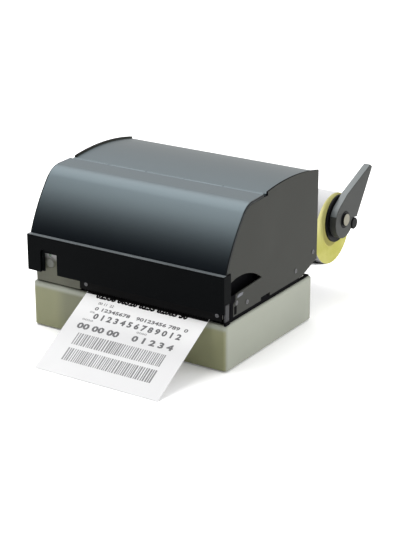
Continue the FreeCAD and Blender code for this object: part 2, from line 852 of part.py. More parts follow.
def head_bracket():
    """Bent carrier that holds head and heat sink and swings on the pivot shaft."""
    left, right = head_span()
    top = bracket_z + bracket_thick
    bend = head_front + head_depth + 10.0
    parts = [box(left + 2.0, right - 2.0, head_front + 2.0, bend, bracket_z, top)]
    web = [(bend - 1.0, bracket_z), (bend, bracket_z), (pivot_y + 1.0, pivot_z - boss_radius + 1.0),
           (pivot_y - 2.5, pivot_z - boss_radius + 2.0), (bend - 2.0, top)]
    parts.append(slab(web, left + 10.0, right - 10.0))
    parts.append(rod(left + 10.0, right - 10.0, pivot_y, pivot_z, boss_radius))
    hole = rod(left - 1, right + 1, pivot_y, pivot_z, pivot_radius + running)
    return union(parts).cut(hole)


def head_pivot_shaft():
    """Fixed shaft between the frames that the head swings on."""
    return rod(frame_left_x, frame_right_x, pivot_y, pivot_z, pivot_radius)


def head_springs():
    """Torsion springs on the pivot shaft, one beside each end of the boss."""
    left, right = head_span()
    sleeves = []
    for x0, x1 in ((left + 1.0, left + 9.5), (right - 9.5, right - 1.0)):
        sleeve = bar(x0, x1, pivot_y, pivot_z, pivot_radius + 1.6, 12)
        sleeves.append(sleeve.cut(bar(x0 - 1, x1 + 1, pivot_y, pivot_z, pivot_radius + 0.4, 12)))
    return Part.makeCompound(sleeves)


def cam_shaft():
    """Shaft across the frames with two lobes that press the head down."""
    parts = [rod(lever_x, frame_right_x + frame_thick + 2.0, cam_y, cam_z, cam_shaft_radius)]
    for x in (label_centre - 45.0, label_centre + 45.0):
        parts.append(bar(x - 3.0, x + 3.0, cam_y, cam_z - cam_offset, cam_radius, 24))
    return union(parts)


def head_lever():
    """Moulded lever on the left end of the cam shaft, with a round grip."""
    end = step((cam_y, cam_z), lever_lean, lever_arm)
    side = [step((cam_y, cam_z), lever_lean + 90.0, 5.0), step(end, lever_lean + 90.0, 3.0),
            step(end, lever_lean - 90.0, 3.0), step((cam_y, cam_z), lever_lean - 90.0, 5.0)]
    parts = [slab(side, lever_x, lever_x + lever_thick)]
    parts.append(bar(lever_x, lever_x + lever_thick, cam_y, cam_z, 6.0, 16))
    parts.append(bar(lever_x - 4.0, lever_x + lever_thick, end[0], end[1], 4.5, 8))
    return union(parts).cut(rod(lever_x - 1, lever_x + lever_thick + 1, cam_y, cam_z, cam_shaft_radius))


def spindle(y, z, left):
    """Ribbon spindle: a core barrel with thin journals at both ends."""
    barrel_left, barrel_right = head_span()
    core = bar(barrel_left, barrel_right, y, z, ribbon_core_radius, 12)
    return union([core, rod(left, frame_right_x + frame_thick + 2.0, y, z, spindle_radius)])


def ribbon_roll(y, z, radius):
    """Ribbon wound on a spindle's barrel."""
    left, right = head_span()
    return rod(left + 1.0, right - 1.0, y, z, radius).cut(bar(left, right, y, z, ribbon_core_radius, 12))


def takeup_spindle():
    return spindle(*gear_places()["takeup"][0], gear_x)


def takeup_ribbon():
    return ribbon_roll(*gear_places()["takeup"][0], takeup_roll_radius)


def supply_spindle():
    return spindle(supply_y, supply_z, frame_left_x - frame_thick - 2.0)


def supply_ribbon():
    return ribbon_roll(supply_y, supply_z, supply_radius)


def guide_bar_spots():
    """(y, z) places of the three bars that the ribbon runs round."""
    return [(pivot_y - 14.0, head_z + bar_radius), (head_front - 6.5, head_z + 0.6 + bar_radius),
            (head_front + 4.0, 113.0)]


def ribbon_guides():
    """Polished bars between the frames."""
    bars = [bar(frame_left_x, frame_right_x, y, z, bar_radius, 16) for y, z in guide_bar_spots()]
    return Part.makeCompound(bars)


def ribbon_film():
    """Ink film from the supply roll under the head and up to the take-up roll."""
    rear, low, high = guide_bar_spots()
    takeup = gear_places()["takeup"][0]
    under_rear = [step(rear, angle, bar_radius + gap) for angle in (305.0, 287.0, 270.0)]
    leave = tangent_point(under_rear[0], (supply_y, supply_z), supply_radius + gap, -1)
    top = head_z - gap
    points = [leave] + under_rear + [(head_front + head_depth, top), (platen_y - 4.0, top)]
    points += [step(low, angle, bar_radius + gap) for angle in (260.0, 220.0, 180.0, 160.0)]
    points += [step(high, angle, bar_radius + gap) for angle in (165.0, 130.0, 90.0)]
    points.append((takeup[0], takeup[1] - takeup_roll_radius - gap - film_thick))
    left, right = head_span()
    return strip(points, film_thick, left + 2.0, right - 2.0)


def web_points():
    """Lower side of the label stock, from its free end back to the roll."""
    leave = step((platen_y, platen_z), 90.0 + label_drop, web_radius)
    run = (leave[1] - label_end_z) / math.tan(math.radians(label_drop))
    rise = math.degrees(math.atan2(nip_z - entry_z, entry_y - platen_y))
    turn = [90.0 + label_drop - i * (label_drop + rise) / 3 for i in range(4)]
    points = [(leave[0] - run, label_end_z)]
    points += [step((platen_y, platen_z), angle, web_radius) for angle in turn]
    points.append((entry_y, entry_z))
    reach = roll_radius + gap + label_thick
    points.append(tangent_point((entry_y, entry_z), (spindle_y, roll_z), reach, -1))
    return points


def label_web():
    """Label stock: from the roll, over the platen, out of the slot and down to the table."""
    return strip(web_points(), label_thick, label_left, label_right)


def guide(x0, foot_x0):
    """Edge guide that slides across the deck."""
    wall = box(x0, x0 + guide_thick, entry_y - 48.0, entry_y - 16.0, deck_top + gap, deck_top + 20.0)
    low = deck_top + gap
    foot = box(foot_x0, foot_x0 + 16.0, entry_y - 44.0, entry_y - 20.0, low, low + 1.5)
    return union([wall, foot])


def guide_left():
    """Left label edge guide."""
    return guide(label_left - gap - guide_thick, label_left - gap - guide_thick)


def guide_right():
    """Right label edge guide."""
    return guide(label_right + gap, label_right + gap + guide_thick - 16.0)


def media_sensor():
    """Gap sensor: an arm on a bar above the stock and its reflector on the deck."""
    y, z = pivot_y + 18.0, deck_top + 17.5
    sensor_x = label_centre + sensor_offset
    rail = box(frame_left_x, frame_right_x, y - 2.5, y + 2.5, z - 1.5, z + 3.5)
    arm = union([rail, box(sensor_x, sensor_x + 14.0, y - 9.0, y + 5.0, z - 3.0, z + 4.0)])
    reflector = box(sensor_x, sensor_x + 14.0, y - 9.0, y + 5.0, deck_top, deck_top + 6.0)
    return Part.makeCompound([arm, reflector])


def inlet_window():
    """Hole in the rear of the base for the mains inlet."""
    c = gap / 2
    return box(inlet_x - 27 - c, inlet_x + 27 + c, base_depth - base_wall - 1, base_depth + 1,
               socket_z - 11 - c, socket_z + 11 + c)


def usb_window():
    """Hole in the rear of the base for the square data socket."""
    c = gap / 2
    return box(usb_x - 6 - c, usb_x + 6 + c, base_depth - base_wall - 1, base_depth + 1,
               port_z - 5.5 - c, port_z + 5.5 + c)


def serial_window():
    """Hole in the rear of the base for the wide data socket."""
    c = gap / 2
    return box(serial_x - 9.5 - c, serial_x + 9.5 + c, base_depth - base_wall - 1, base_depth + 1,
               port_z - 4.5 - c, port_z + 4.5 + c)


def power_inlet():
    """Mains inlet and the frame of the rocker switch in one moulded block."""
    back = base_depth
    body = box(inlet_x - 27, inlet_x + 27, back - 24, back, socket_z - 11, socket_z + 11)
    rim = box(inlet_x - 30, inlet_x + 30, back, back + 2, socket_z - 14, socket_z + 14)
    block = union([body, rim])
    socket = box(inlet_x - 24, inlet_x, back - 14, back + 3, socket_z - 8, socket_z + 8)
    window = box(rocker_x - 6.7, rocker_x + 6.7, back - 10, back + 3, socket_z - 10.2, socket_z + 10.2)
    block = block.cut(socket).cut(window)
    pins = [box(inlet_x - 12 + dx - 1, inlet_x - 12 + dx + 1, back - 15, back - 6, socket_z + dz - 2,
                socket_z + dz + 2) for dx, dz in ((-7, -2), (0, 2), (7, -2))]
    return union([block] + pins)


def power_rocker():
    """Switch rocker, shown tipped to off."""
    y, z = base_depth - 2.0, socket_z
    face = [(4.5, -9.2), (3.0, 0.0), (4.5, 9.2), (-3.0, 9.2), (-5.0, 0.0), (-3.0, -9.2)]
    rocker = slab([(y + a, z + b) for a, b in face], rocker_x - 6.4, rocker_x + 6.4)
    rocker = union([rocker, rod(rocker_x - 6.5, rocker_x + 6.5, y, z, 1.5)])
    rocker.rotate(V(0, y, z), V(1, 0, 0), rocker_tip)
    return rocker


def data_ports():
    """Square and wide data sockets, on the board and through the rear wall."""
    back = base_depth
    square = box(usb_x - 6, usb_x + 6, back - 14, back + 0.5, port_z - 5.5, port_z + 5.5)
    mouth = box(usb_x - 4.3, usb_x + 4.3, back - 10, back + 1, port_z - 3.9, port_z + 3.9)
    tongue = box(usb_x - 2.8, usb_x + 2.8, back - 11, back - 4.5, port_z - 1.5, port_z + 1.5)
    square = union([square.cut(mouth), tongue])
    wide = union([box(serial_x - 9.5, serial_x + 9.5, back - 14, back + 5, port_z - 4.5, port_z + 4.5),
                  box(serial_x - 15.5, serial_x + 15.5, back, back + 0.8, port_z - 6.0, port_z + 6.0),
                  peg(serial_x - 12.5, back + 0.8, back + 4.8, port_z, 2.6, 6),
                  peg(serial_x + 12.5, back + 0.8, back + 4.8, port_z, 2.6, 6),
                  box(serial_x - 8, serial_x + 8, back - 13, back - 7, port_z - 5.5, port_z - 4)])
    return Part.makeCompound([square, wide])


def board(x0, x1, y0, y1, low, lumps):
    """Circuit board on four pillars; each component is given by shares of the board and a height."""
    floor = base_gap + 0.5 + plate_thick
    width, depth, top = x1 - x0, y1 - y0, low + board_thick
    parts = [box(x0, x1, y0, y1, low, top)]
    parts += [box(x - 3, x + 3, y - 3, y + 3, floor, low)
              for x in (x0 + 6, x1 - 6) for y in (y0 + 6, y1 - 6)]
    for a, b, c, d, height in lumps:
        parts.append(box(x0 + a * width, x0 + b * width, y0 + c * depth, y0 + d * depth,
                         top, top + height))
    return union(parts)


def mainboard():
    """Controller board with its processor, memory, drivers and plug rows."""
    lumps = [(0.2, 0.44, 0.23, 0.41, 3), (0.52, 0.62, 0.25, 0.39, 2), (0.66, 0.76, 0.25, 0.39, 2),
             (0.2, 0.34, 0.6, 0.76, 10), (0.84, 0.98, 0.09, 0.45, 8), (0.48, 0.58, 0.67, 0.85, 12),
             (0.08, 0.14, 0.09, 0.53, 9)]
    low = port_z - 5.5 - board_thick
    return board(0.0, base_half - board_edge - 8.0, 28.0, base_depth - 6.0, low, lumps)


def power_supply():
    """Open power supply with its transformer, capacitors and cooling plate."""
    lumps = [(0.29, 0.67, 0.22, 0.58, 28), (0.75, 0.92, 0.27, 0.41, 24), (0.75, 0.92, 0.46, 0.6, 24),
             (0.04, 0.08, 0.09, 0.79, 26), (0.17, 0.23, 0.09, 0.17, 12)]
    return board(board_edge - base_half, -12.0, 24.0, base_depth - 30.0, 9.0, lumps)


def roll_bracket():
    """Steel arm bolted to the rear panel, which carries the roll spindle."""
    reach = 15.0
    low, high = spindle_z - 16.5, spindle_z + 39.5
    arm = slab([(housing_depth, low), (housing_depth, high), (spindle_y, spindle_z + reach),
                (spindle_y, spindle_z - reach)], arm_x - arm_thick, arm_x)
    eye = rod(arm_x - arm_thick, arm_x, spindle_y, spindle_z, reach)
    foot = box(arm_x - arm_thick, arm_x + 26.0, housing_depth, housing_depth + arm_thick, low, high)
    bracket = union([arm, eye, foot])
    bolts = [peg(x, housing_depth - 1, housing_depth + arm_thick + 1, z, bolt_radius)
             for x, z in bracket_bolt_spots()]
    bracket = bracket.cut(Part.makeCompound(bolts))
    return bracket.cut(rod(arm_x - arm_thick - 1, arm_x + 1, spindle_y, spindle_z, roll_spindle_radius))


def roll_spindle():
    """Fixed spindle with the left stop disc of the roll."""
    axle = rod(arm_x - arm_thick - 2.0, spindle_end, spindle_y, spindle_z, roll_spindle_radius)
    stop = bar(label_left - 4.0, label_left - gap, spindle_y, spindle_z, disc_radius - 2.0, 24)
    return union([axle, stop])


def label_roll():
    """Wound label stock."""
    roll = rod(label_left, label_right, spindle_y, roll_z, roll_radius)
    return roll.cut(bar(label_left - 1, label_right + 1, spindle_y, roll_z, core_radius, 24))


def roll_core():
    """Cardboard core, which hangs on the spindle."""
    core = bar(label_left, label_right, spindle_y, roll_z, core_radius, 24)
    return core.cut(bar(label_left - 1, label_right + 1, spindle_y, roll_z, core_bore_radius, 24))


def roll_disc():
    """Black retaining disc that slides on the spindle against the roll."""
    disc = rod(disc_x, disc_x + disc_thick, spindle_y, spindle_z, disc_radius)
    hub = bar(label_right + gap, disc_x, spindle_y, spindle_z, disc_radius * 0.42, 16)
    hole = rod(label_right, disc_x + disc_thick + 1, spindle_y, spindle_z, roll_spindle_radius + running)
    return union([disc, hub]).cut(hole)


def blade_lever():
    """Grey lever: a round hub that runs out into a wide pointed blade."""
    x0, x1 = blade_x, blade_x + blade_thick
    centre = (spindle_y, spindle_z)
    low_tip = (tip_y, tip_z)
    high_tip = step(low_tip, 180.0 - 34.0, tip_width)
    shoulder = step(high_tip, 180.0 + blade_upper, blade_upper_length)
    touch = tangent_point(shoulder, centre, hub_radius, -1)
    blade = slab([centre, (blade_corner_y, blade_corner_z), low_tip, high_tip, shoulder, touch], x0, x1)
    lever = union([blade, rod(x0, x1, spindle_y, spindle_z, hub_radius)])
    lever = lever.cut(bar(x0 - 1, x1 + 1, knob_y, knob_z, knob_radius, 24))
    return lever.cut(rod(x0 - 1, x1 + 1, spindle_y, spindle_z, roll_spindle_radius + running))


def lever_knob():
    """Black knob seated in the corner of the lever."""
    return bar(blade_x + 1.0, blade_x + blade_thick + 1.5, knob_y, knob_z, knob_radius, 24)


pieces = [
    base_housing, base_plate, rubber_feet, deck_plate, left_side_plate, right_side_plate, corner_post,
    rear_top_cover, rear_panel, hinge_pin, hood, fascia, control_panel, feed_button,
    status_light, tear_bar, machine_screws, frame_left, frame_right, motor_plate, stepper_motor,
    motor_pinion, platen_shaft, platen_rubber, platen_bearings, platen_gear, idler_gear_low,
    idler_gear_mid, idler_gear_high, takeup_gear, takeup_spindle, takeup_ribbon, supply_spindle,
    supply_ribbon, ribbon_guides, ribbon_film, print_head, head_heatsink, head_bracket,
    head_pivot_shaft, head_springs, cam_shaft, head_lever, label_web, guide_left, guide_right,
    media_sensor, mainboard, power_supply, power_inlet, power_rocker, data_ports, roll_bracket,
    roll_spindle, label_roll, roll_core, roll_disc, blade_lever, lever_knob,
]

label_front = web_points()[0][0] - label_thick * math.sin(math.radians(label_drop))
origin_y = (label_front + tip_y) / 2

os.makedirs("parts", exist_ok=True)
for piece in pieces:
    shape = piece()
    shape.translate(V(0, -origin_y, 0))
    shape.exportStep("parts/" + piece.__name__ + ".step")
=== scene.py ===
"""Looks of the desk-top label printer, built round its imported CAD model.

Sizes are design millimetres with y = 0 at the front of the base, as in the part's source.
Piece.done() turns them into the metres of the frame. Shaders read places in metres.
"""
import math
import random
import bpy
import bmesh
from mathutils import Matrix, Vector


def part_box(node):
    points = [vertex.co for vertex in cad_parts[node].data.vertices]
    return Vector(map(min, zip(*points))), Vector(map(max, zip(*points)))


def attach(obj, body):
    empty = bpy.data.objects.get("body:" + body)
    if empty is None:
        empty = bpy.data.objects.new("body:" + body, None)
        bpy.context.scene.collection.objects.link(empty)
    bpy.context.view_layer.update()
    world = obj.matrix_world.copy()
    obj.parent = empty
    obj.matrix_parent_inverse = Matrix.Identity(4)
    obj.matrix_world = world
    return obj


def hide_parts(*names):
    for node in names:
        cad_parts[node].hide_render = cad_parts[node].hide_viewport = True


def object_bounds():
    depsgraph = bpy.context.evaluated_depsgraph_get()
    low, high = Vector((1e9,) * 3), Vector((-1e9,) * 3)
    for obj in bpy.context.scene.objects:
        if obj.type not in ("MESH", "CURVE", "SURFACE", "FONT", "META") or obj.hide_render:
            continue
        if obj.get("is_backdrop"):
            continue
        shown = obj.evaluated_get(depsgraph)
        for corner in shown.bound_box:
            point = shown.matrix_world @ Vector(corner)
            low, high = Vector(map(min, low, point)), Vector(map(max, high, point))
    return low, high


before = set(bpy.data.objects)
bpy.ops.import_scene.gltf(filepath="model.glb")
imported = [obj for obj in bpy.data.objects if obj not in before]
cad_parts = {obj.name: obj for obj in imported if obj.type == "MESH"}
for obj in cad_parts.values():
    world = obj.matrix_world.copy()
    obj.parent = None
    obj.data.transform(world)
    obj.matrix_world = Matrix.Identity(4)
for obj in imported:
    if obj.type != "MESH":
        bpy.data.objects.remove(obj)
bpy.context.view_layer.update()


# Studio
# A white floor and large soft lights above, behind and to the right of the machine, with a
# darker room in front of it. The camera stands where the photograph was taken from.

class Field:
    """A socket of a shader tree. Plain operators add Math nodes, node() adds any other."""

    def __init__(self, tree, socket):
        self.tree, self.socket = tree, socket

    def feed(self, socket, value):
        """Link a field to a socket, or set its value."""
        if isinstance(value, Field):
            self.tree.links.new(value.socket, socket)
        else:
            socket.default_value = value

    def node(self, kind, settings=(), inputs=(), out=0):
        """Any node: its settings first, then its sockets by name or number."""
        made = self.tree.nodes.new("ShaderNode" + kind)
        for key, value in dict(settings).items():
            setattr(made, key, value)
        for key, value in dict(inputs).items():
            self.feed(made.inputs[key], value)
        return Field(self.tree, made.outputs[out])

    def math(self, operation, *values):
        """Math node on the values, or on this field when there are none."""
        return self.node("Math", {"operation": operation}, dict(enumerate(values or (self,))))

    def mix(self, one, other):
        """Colour between two colours, with this field as the factor."""
        ends = [c if isinstance(c, Field) else (*c, 1.0) for c in (one, other)]
        return self.node("Mix", {"data_type": "RGBA"}, {0: self, 6: ends[0], 7: ends[1]}, 2)

    def noise(self, scale, detail=2.0, distortion=0.0):
        """Noise that reads this field as its place."""
        values = {"Vector": self, "Scale": scale, "Detail": detail, "Distortion": distortion}
        return self.node("TexNoise", (), values)

    def part(self, axis):
        """One component of a vector field, 0, 1 or 2."""
        return self.node("SeparateXYZ", (), {0: self}, axis)

    def stretched(self, x, y, z):
        """The place, scaled along each axis."""
        return self.node("VectorMath", {"operation": "MULTIPLY"}, {0: self, 1: (x, y, z)})

    def between(self, low, high):
        """0 at low, 1 at high, smooth in between; low may be the greater one."""
        values = {"Value": self, "From Min": low, "From Max": high}
        return self.node("MapRange", {"interpolation_type": "SMOOTHSTEP"}, values)

    def __add__(self, other):
        return self.math("ADD", self, other)

    def __sub__(self, other):
        return self.math("SUBTRACT", self, other)

    def __rsub__(self, other):
        return self.math("SUBTRACT", other, self)

    def __mul__(self, other):
        return self.math("MULTIPLY", self, other)

    __radd__, __rmul__ = __add__, __mul__


def material(name, **constants):
    """New material with constants on its shader; also its place field and its shader."""
    made = bpy.data.materials.new(name)
    made.use_nodes = True
    shader = made.node_tree.nodes["Principled BSDF"]
    for key, value in constants.items():
        shader.inputs[key.replace("_", " ")].default_value = value
    place = Field(made.node_tree, made.node_tree.nodes.new("ShaderNodeTexCoord").outputs["Object"])
    return made, place, shader


def dress(shader, colour, rough, relief=None, strength=0.0, depth=0.0004):
    """Give a shader its colour, roughness and, where there is one, relief in metres."""
    colour.feed(shader.inputs["Base Color"], colour)
    colour.feed(shader.inputs["Roughness"], rough)
    if strength:
        bump = relief.node("Bump", (), {"Height": relief, "Strength": strength, "Distance": depth})
        colour.feed(shader.inputs["Normal"], bump)


def surface(name, dark, light, grain, rough, bump=0.0, stretch=(1, 1, 1), **constants):
    """Material whose colour, roughness and relief follow fine and broad noise."""
    made, place, shader = material(name, **constants)
    fine = place.stretched(*stretch).noise(grain, 3.0)
    broad = place.noise(14.0, 2.0)
    tone = (fine * 0.6 + broad * 0.4).between(0.3, 0.7)
    dress(shader, tone.mix(dark, light), rough[0] + tone * (rough[1] - rough[0]), fine, bump)
    return made


scene = bpy.context.scene
floor_mesh = bpy.data.meshes.new("floor")
floor_mesh.from_pydata([(-6, -5, 0), (6, -5, 0), (6, 7, 0), (-6, 7, 0)], [], [(0, 1, 2, 3)])
floor_white = surface("floor_white", (0.95, 0.95, 0.95), (0.97, 0.97, 0.97), 40.0, (0.9, 0.95),
                      Emission_Color=(1.0, 1.0, 1.0, 1.0), Emission_Strength=0.12)
floor_mesh.materials.append(floor_white)
floor = bpy.data.objects.new("floor", floor_mesh)
scene.collection.objects.link(floor)
floor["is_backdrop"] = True

world = bpy.data.worlds.new("studio")
world.use_nodes = True
sky = world.node_tree
background = sky.nodes["Background"]
direction = Field(sky, sky.nodes.new("ShaderNodeTexCoord").outputs["Generated"])
behind = (direction.part(1) * 0.9 + direction.part(0) * 0.35).between(-0.3, 0.8)
overhead = direction.part(2).between(0.1, 0.9)
glow = 0.1 + behind * 1.05 + overhead * 0.5
glow.feed(background.inputs["Strength"], glow)
background.inputs["Color"].default_value = (1.0, 1.0, 1.0, 1.0)
scene.world = world

for name, where, aim, size, power in (
        ("light_top", (-0.65, -0.15, 1.3), (-0.65, -0.15, 0.0), (1.5, 1.9), 30.0),
        ("light_right", (1.7, 0.3, 0.8), (0.0, 0.0, 0.08), (1.0, 1.0), 7.0)):
    lamp = bpy.data.lights.new(name, "AREA")
    lamp.shape, lamp.size, lamp.size_y, lamp.energy = "RECTANGLE", *size, power
    lamp_object = bpy.data.objects.new(name, lamp)
    turn = (Vector(aim) - Vector(where)).to_track_quat("-Z", "Y")
    lamp_object.matrix_world = Matrix.Translation(where) @ turn.to_matrix().to_4x4()
    scene.collection.objects.link(lamp_object)

camera_place, camera_lens = (0.8843, -1.33593, 0.6459), 107.46
azimuth, downward, lean = 32.95, 20.32, -0.09         # degrees
camera = bpy.data.objects.new("camera", bpy.data.cameras.new("camera"))
camera.data.lens = camera_lens
camera.matrix_world = (Matrix.Translation(camera_place)
                       @ Matrix.Rotation(math.radians(azimuth), 4, "Z")
                       @ Matrix.Rotation(math.radians(90 - downward), 4, "X")
                       @ Matrix.Rotation(math.radians(lean), 4, "Z"))
scene.collection.objects.link(camera)
scene.camera = camera
scene.view_settings.view_transform = "Standard"


# Base
# The lower housing is a pressed steel shell in light grey-green paint, open below. A zinc
# plated plate with air slots closes it, and four rubber feet are glued under the plate.

origin_y = round(-1000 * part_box("base_housing")[0][1], 5)     # base front to frame origin


def extent(node, axis):
    """Lowest and highest place of a CAD node along an axis, in design millimetres."""
    i = "XYZ".index(axis)
    return [round(1000 * corner[i] + (origin_y if axis == "Y" else 0.0), 2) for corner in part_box(node)]


def middle(node, axes="YZ"):
    """Middle of a CAD node along two axes, which is the centre of a shaft seen from its end."""
    low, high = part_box(node)
    shift = {"X": 0.0, "Y": origin_y, "Z": 0.0}
    return [round(500 * (low[i] + high[i]) + shift[axis], 2)
            for i, axis in enumerate("XYZ") if axis in axes]


def extrude(solid, shift):
    """Extrude every face of a solid by a shift."""
    grown = bmesh.ops.extrude_face_region(solid, geom=list(solid.faces))
    for item in grown["geom"]:
        if isinstance(item, bmesh.types.BMVert):
            item.co += shift


def evaluated(holder):
    """Mesh of an object as its modifiers leave it."""
    seen = holder.evaluated_get(bpy.context.evaluated_depsgraph_get())
    return bpy.data.meshes.new_from_object(seen)


class Piece:
    """Collects solids in design millimetres into one mesh that rides on a CAD body."""

    def __init__(self, name, body, slot, *materials):
        self.name, self.body, self.slot, self.materials = name, body, slot, materials
        self.mesh = bmesh.new()

    def add(self, solid, bevel=0.0, finish=0, segments=2):
        """Round the sharp edges of a solid and take it into the piece, in one of its materials."""
        if bevel:
            sharp = math.radians(25.0)
            edges = [edge for edge in solid.edges
                     if len(edge.link_faces) == 2 and edge.calc_face_angle(0.0) > sharp]
            bmesh.ops.bevel(solid, geom=edges, offset=bevel, offset_type="OFFSET", segments=segments,
                            profile=0.5, affect="EDGES", clamp_overlap=False)
        bmesh.ops.recalc_face_normals(solid, faces=solid.faces)
        for face in solid.faces:
            face.smooth, face.material_index = True, finish
        carrier = bpy.data.meshes.new("carrier")
        solid.to_mesh(carrier)
        solid.free()
        self.mesh.from_mesh(carrier)
        bpy.data.meshes.remove(carrier)
        return self

    def cad(self, node, bevel=0.0, segments=2):
        """The shape of a CAD node, with its seams merged and its flat faces made whole."""
        solid = bmesh.new()
        solid.from_mesh(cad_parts[node].data)
        bmesh.ops.remove_doubles(solid, verts=solid.verts, dist=1e-6)
        for vert in solid.verts:
            vert.co = (vert.co.x * 1000, vert.co.y * 1000 + origin_y, vert.co.z * 1000)
        bmesh.ops.dissolve_limit(solid, angle_limit=math.radians(0.8), verts=solid.verts,
                                 edges=solid.edges)
        return self.add(solid, bevel, segments=segments)

    def repaint(self, finish, test):
        """Give a material to the faces whose middle and normal pass a test."""
        for face in self.mesh.faces:
            if test(face.calc_center_median(), face.normal):
                face.material_index = finish

    def prism(self, outline, low, high, bevel=0.0, finish=0, axis="X", holes=(), segments=2):
        """Plate between low and high along an axis, from outlines in the other two axes."""
        solid = bmesh.new()
        place = {"X": lambda a, b: (low, a, b), "Y": lambda a, b: (a, low, b)}[axis]
        for ring in (outline, *holes):
            verts = [solid.verts.new(place(a, b)) for a, b in ring]
            for one, other in zip(verts, verts[1:] + verts[:1]):
                solid.edges.new((one, other))
        if holes:
            bmesh.ops.triangle_fill(solid, edges=solid.edges, use_beauty=True)
        else:
            solid.faces.new(list(solid.verts))
        extrude(solid, Vector([(high - low) if axis == name else 0.0 for name in "XYZ"]))
        return self.add(solid, bevel, finish, segments)

    def block(self, x0, x1, y0, y1, z0, z1, bevel=0.0, finish=0):
        """Rectangular block."""
        return self.prism([(y0, z0), (y1, z0), (y1, z1), (y0, z1)], x0, x1, bevel, finish)

    def turned(self, profile, centre, finish=0, axis="X", steps=64, ring=False):
        """Turned shape from (along, radius) points, about an axis through a centre."""
        solid = bmesh.new()
        rows = []
        for along, radius in profile:
            row = []
            for i in range(steps if radius > 0 else 1):
                angle = 2 * math.pi * i / steps
                u, v = centre[0] + radius * math.cos(angle), centre[1] + radius * math.sin(angle)
                row.append(solid.verts.new({"X": (along, u, v), "Y": (u, along, v),
                                            "Z": (u, v, along)}[axis]))
            rows.append(row)
        for one, other in list(zip(rows, rows[1:])) + ([(rows[-1], rows[0])] if ring else []):
            for i in range(steps):
                j = (i + 1) % steps
                corners = dict.fromkeys((one[i % len(one)], one[j % len(one)],
                                         other[j % len(other)], other[i % len(other)]))
                if len(corners) > 2:
                    solid.faces.new(list(corners))
        return self.add(solid, 0.0, finish)

    def rod(self, low, high, centre, radius, edge=0.3, steps=48):
        """Round bar along x with chamfered ends."""
        edge = min(edge, radius / 3, (high - low) / 3)
        profile = [(low, 0), (low, radius - edge), (low + edge, radius), (high - edge, radius),
                   (high, radius - edge), (high, 0)]
        return self.turned(profile, centre, steps=steps)

    def shaft(self, node, radius, edge=0.3):
        """Round bar along the whole length of a CAD one."""
        return self.rod(*extent(node, "X"), middle(node), radius, edge)

    def tube(self, low, high, centre, outer, inner, finish=0, axis="X", edge=0.3, steps=64):
        """Round bar with a bore."""
        profile = [(low, inner), (low, outer - edge), (low + edge, outer), (high - edge, outer),
                   (high, outer - edge), (high, inner)]
        return self.turned(profile, centre, finish, axis, steps, ring=True)

    def done(self, *replaced, crease=38.0):
        for vert in self.mesh.verts:
            vert.co = (vert.co.x / 1000, (vert.co.y - origin_y) / 1000, vert.co.z / 1000)
        mesh = bpy.data.meshes.new(self.name)
        self.mesh.to_mesh(mesh)
        self.mesh.free()
        for finish in self.materials:
            mesh.materials.append(finish)
        mesh.set_sharp_from_angle(angle=math.radians(crease))
        made = bpy.data.objects.new(self.name, mesh)
        scene.collection.objects.link(made)
        made.modifiers.new("normals", "WEIGHTED_NORMAL").keep_sharp = True
        made.data = evaluated(made)
        made.modifiers.clear()
        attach(made, self.body)
        if replaced:
            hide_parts(*replaced)


def cad_piece(name, node, slot, finish, bevel=0.0, body="chassis", crease=38.0, segments=2):
    """Piece with the shape of one CAD node, its edges rounded, in one material."""
    Piece(name, body, slot, finish).cad(node, bevel, segments).done(node, crease=crease)


def peeled(place, grain):
    """Orange-peel relief of a sprayed paint, its broad clouds and the tone that both give."""
    peel, cloud = place.noise(grain, 2.0), place.noise(9.0, 3.0, 0.4)
    return peel, cloud, cloud.between(0.35, 0.65) * 0.7 + peel * 0.3


def painted(name, dark, light, grain, rough, worn, **constants):
    """Paint with an orange-peel skin, faint broad shading and a few paler worn specks."""
    made, place, shader = material(name, **constants)
    peel, cloud, tone = peeled(place, grain)
    speck = place.noise(2600.0, 1.0).between(0.62, 0.7)
    colour = (speck * worn).mix(tone.mix(dark, light), tuple(min(1.0, c * 1.5) for c in light))
    dress(shader, colour, rough + cloud * 0.1 - 0.05, peel, 0.14)
    return made


base_paint, place, shader = material("base_paint", Specular_IOR_Level=0.4)
peel, cloud, tone = peeled(place, 900.0)
base_grey = tone.mix((0.27, 0.285, 0.235), (0.31, 0.325, 0.27))
front_wall_shade = tone.mix((0.2, 0.205, 0.105), (0.25, 0.255, 0.145))
label_shadow = tone.mix((0.14, 0.145, 0.085), (0.18, 0.185, 0.115))
# Painted shade: the front wall is darker and yellower, save a paler top band that is a painted
# highlight of its upper edge, and darker still about the label's left edge, a painted shadow.
front_shade_mask = place.part(1).between(-0.1093, -0.1112) * place.part(2).between(0.0465, 0.0425)
label_shadow_mask = place.part(0).between(-0.094, -0.074) * (1.0 - place.part(0).between(0.03, 0.06))
dress(shader, front_shade_mask.mix(base_grey, label_shadow_mask.mix(front_wall_shade, label_shadow)), 0.37 + cloud * 0.1, peel, 0.14)
cad_piece("base_shell", "base_housing", "base_paint", base_paint, 0.9, segments=3)

zinc = surface("zinc", (0.36, 0.36, 0.33), (0.52, 0.52, 0.48), 160.0, (0.3, 0.42), 0.05, Metallic=1.0)
cad_piece("base_cover", "base_plate", "zinc_steel", zinc, 0.2)

foot_rubber = surface("foot_rubber", (0.012, 0.012, 0.012), (0.025, 0.025, 0.025), 800.0,
                      (0.75, 0.9), 0.2)
feet = Piece("feet", "chassis", "foot_rubber", foot_rubber)
foot_x, foot_y = (-100.0, 100.0), (20.0, 151.0)
foot_section = [(0.0, 0), (0.0, 6.4), (0.5, 7.4), (2.0, 8.0), (2.0, 0)]
for x in foot_x:
    for y in foot_y:
        feet.turned(foot_section, (x, y), axis="Z")
feet.done("rubber_feet")
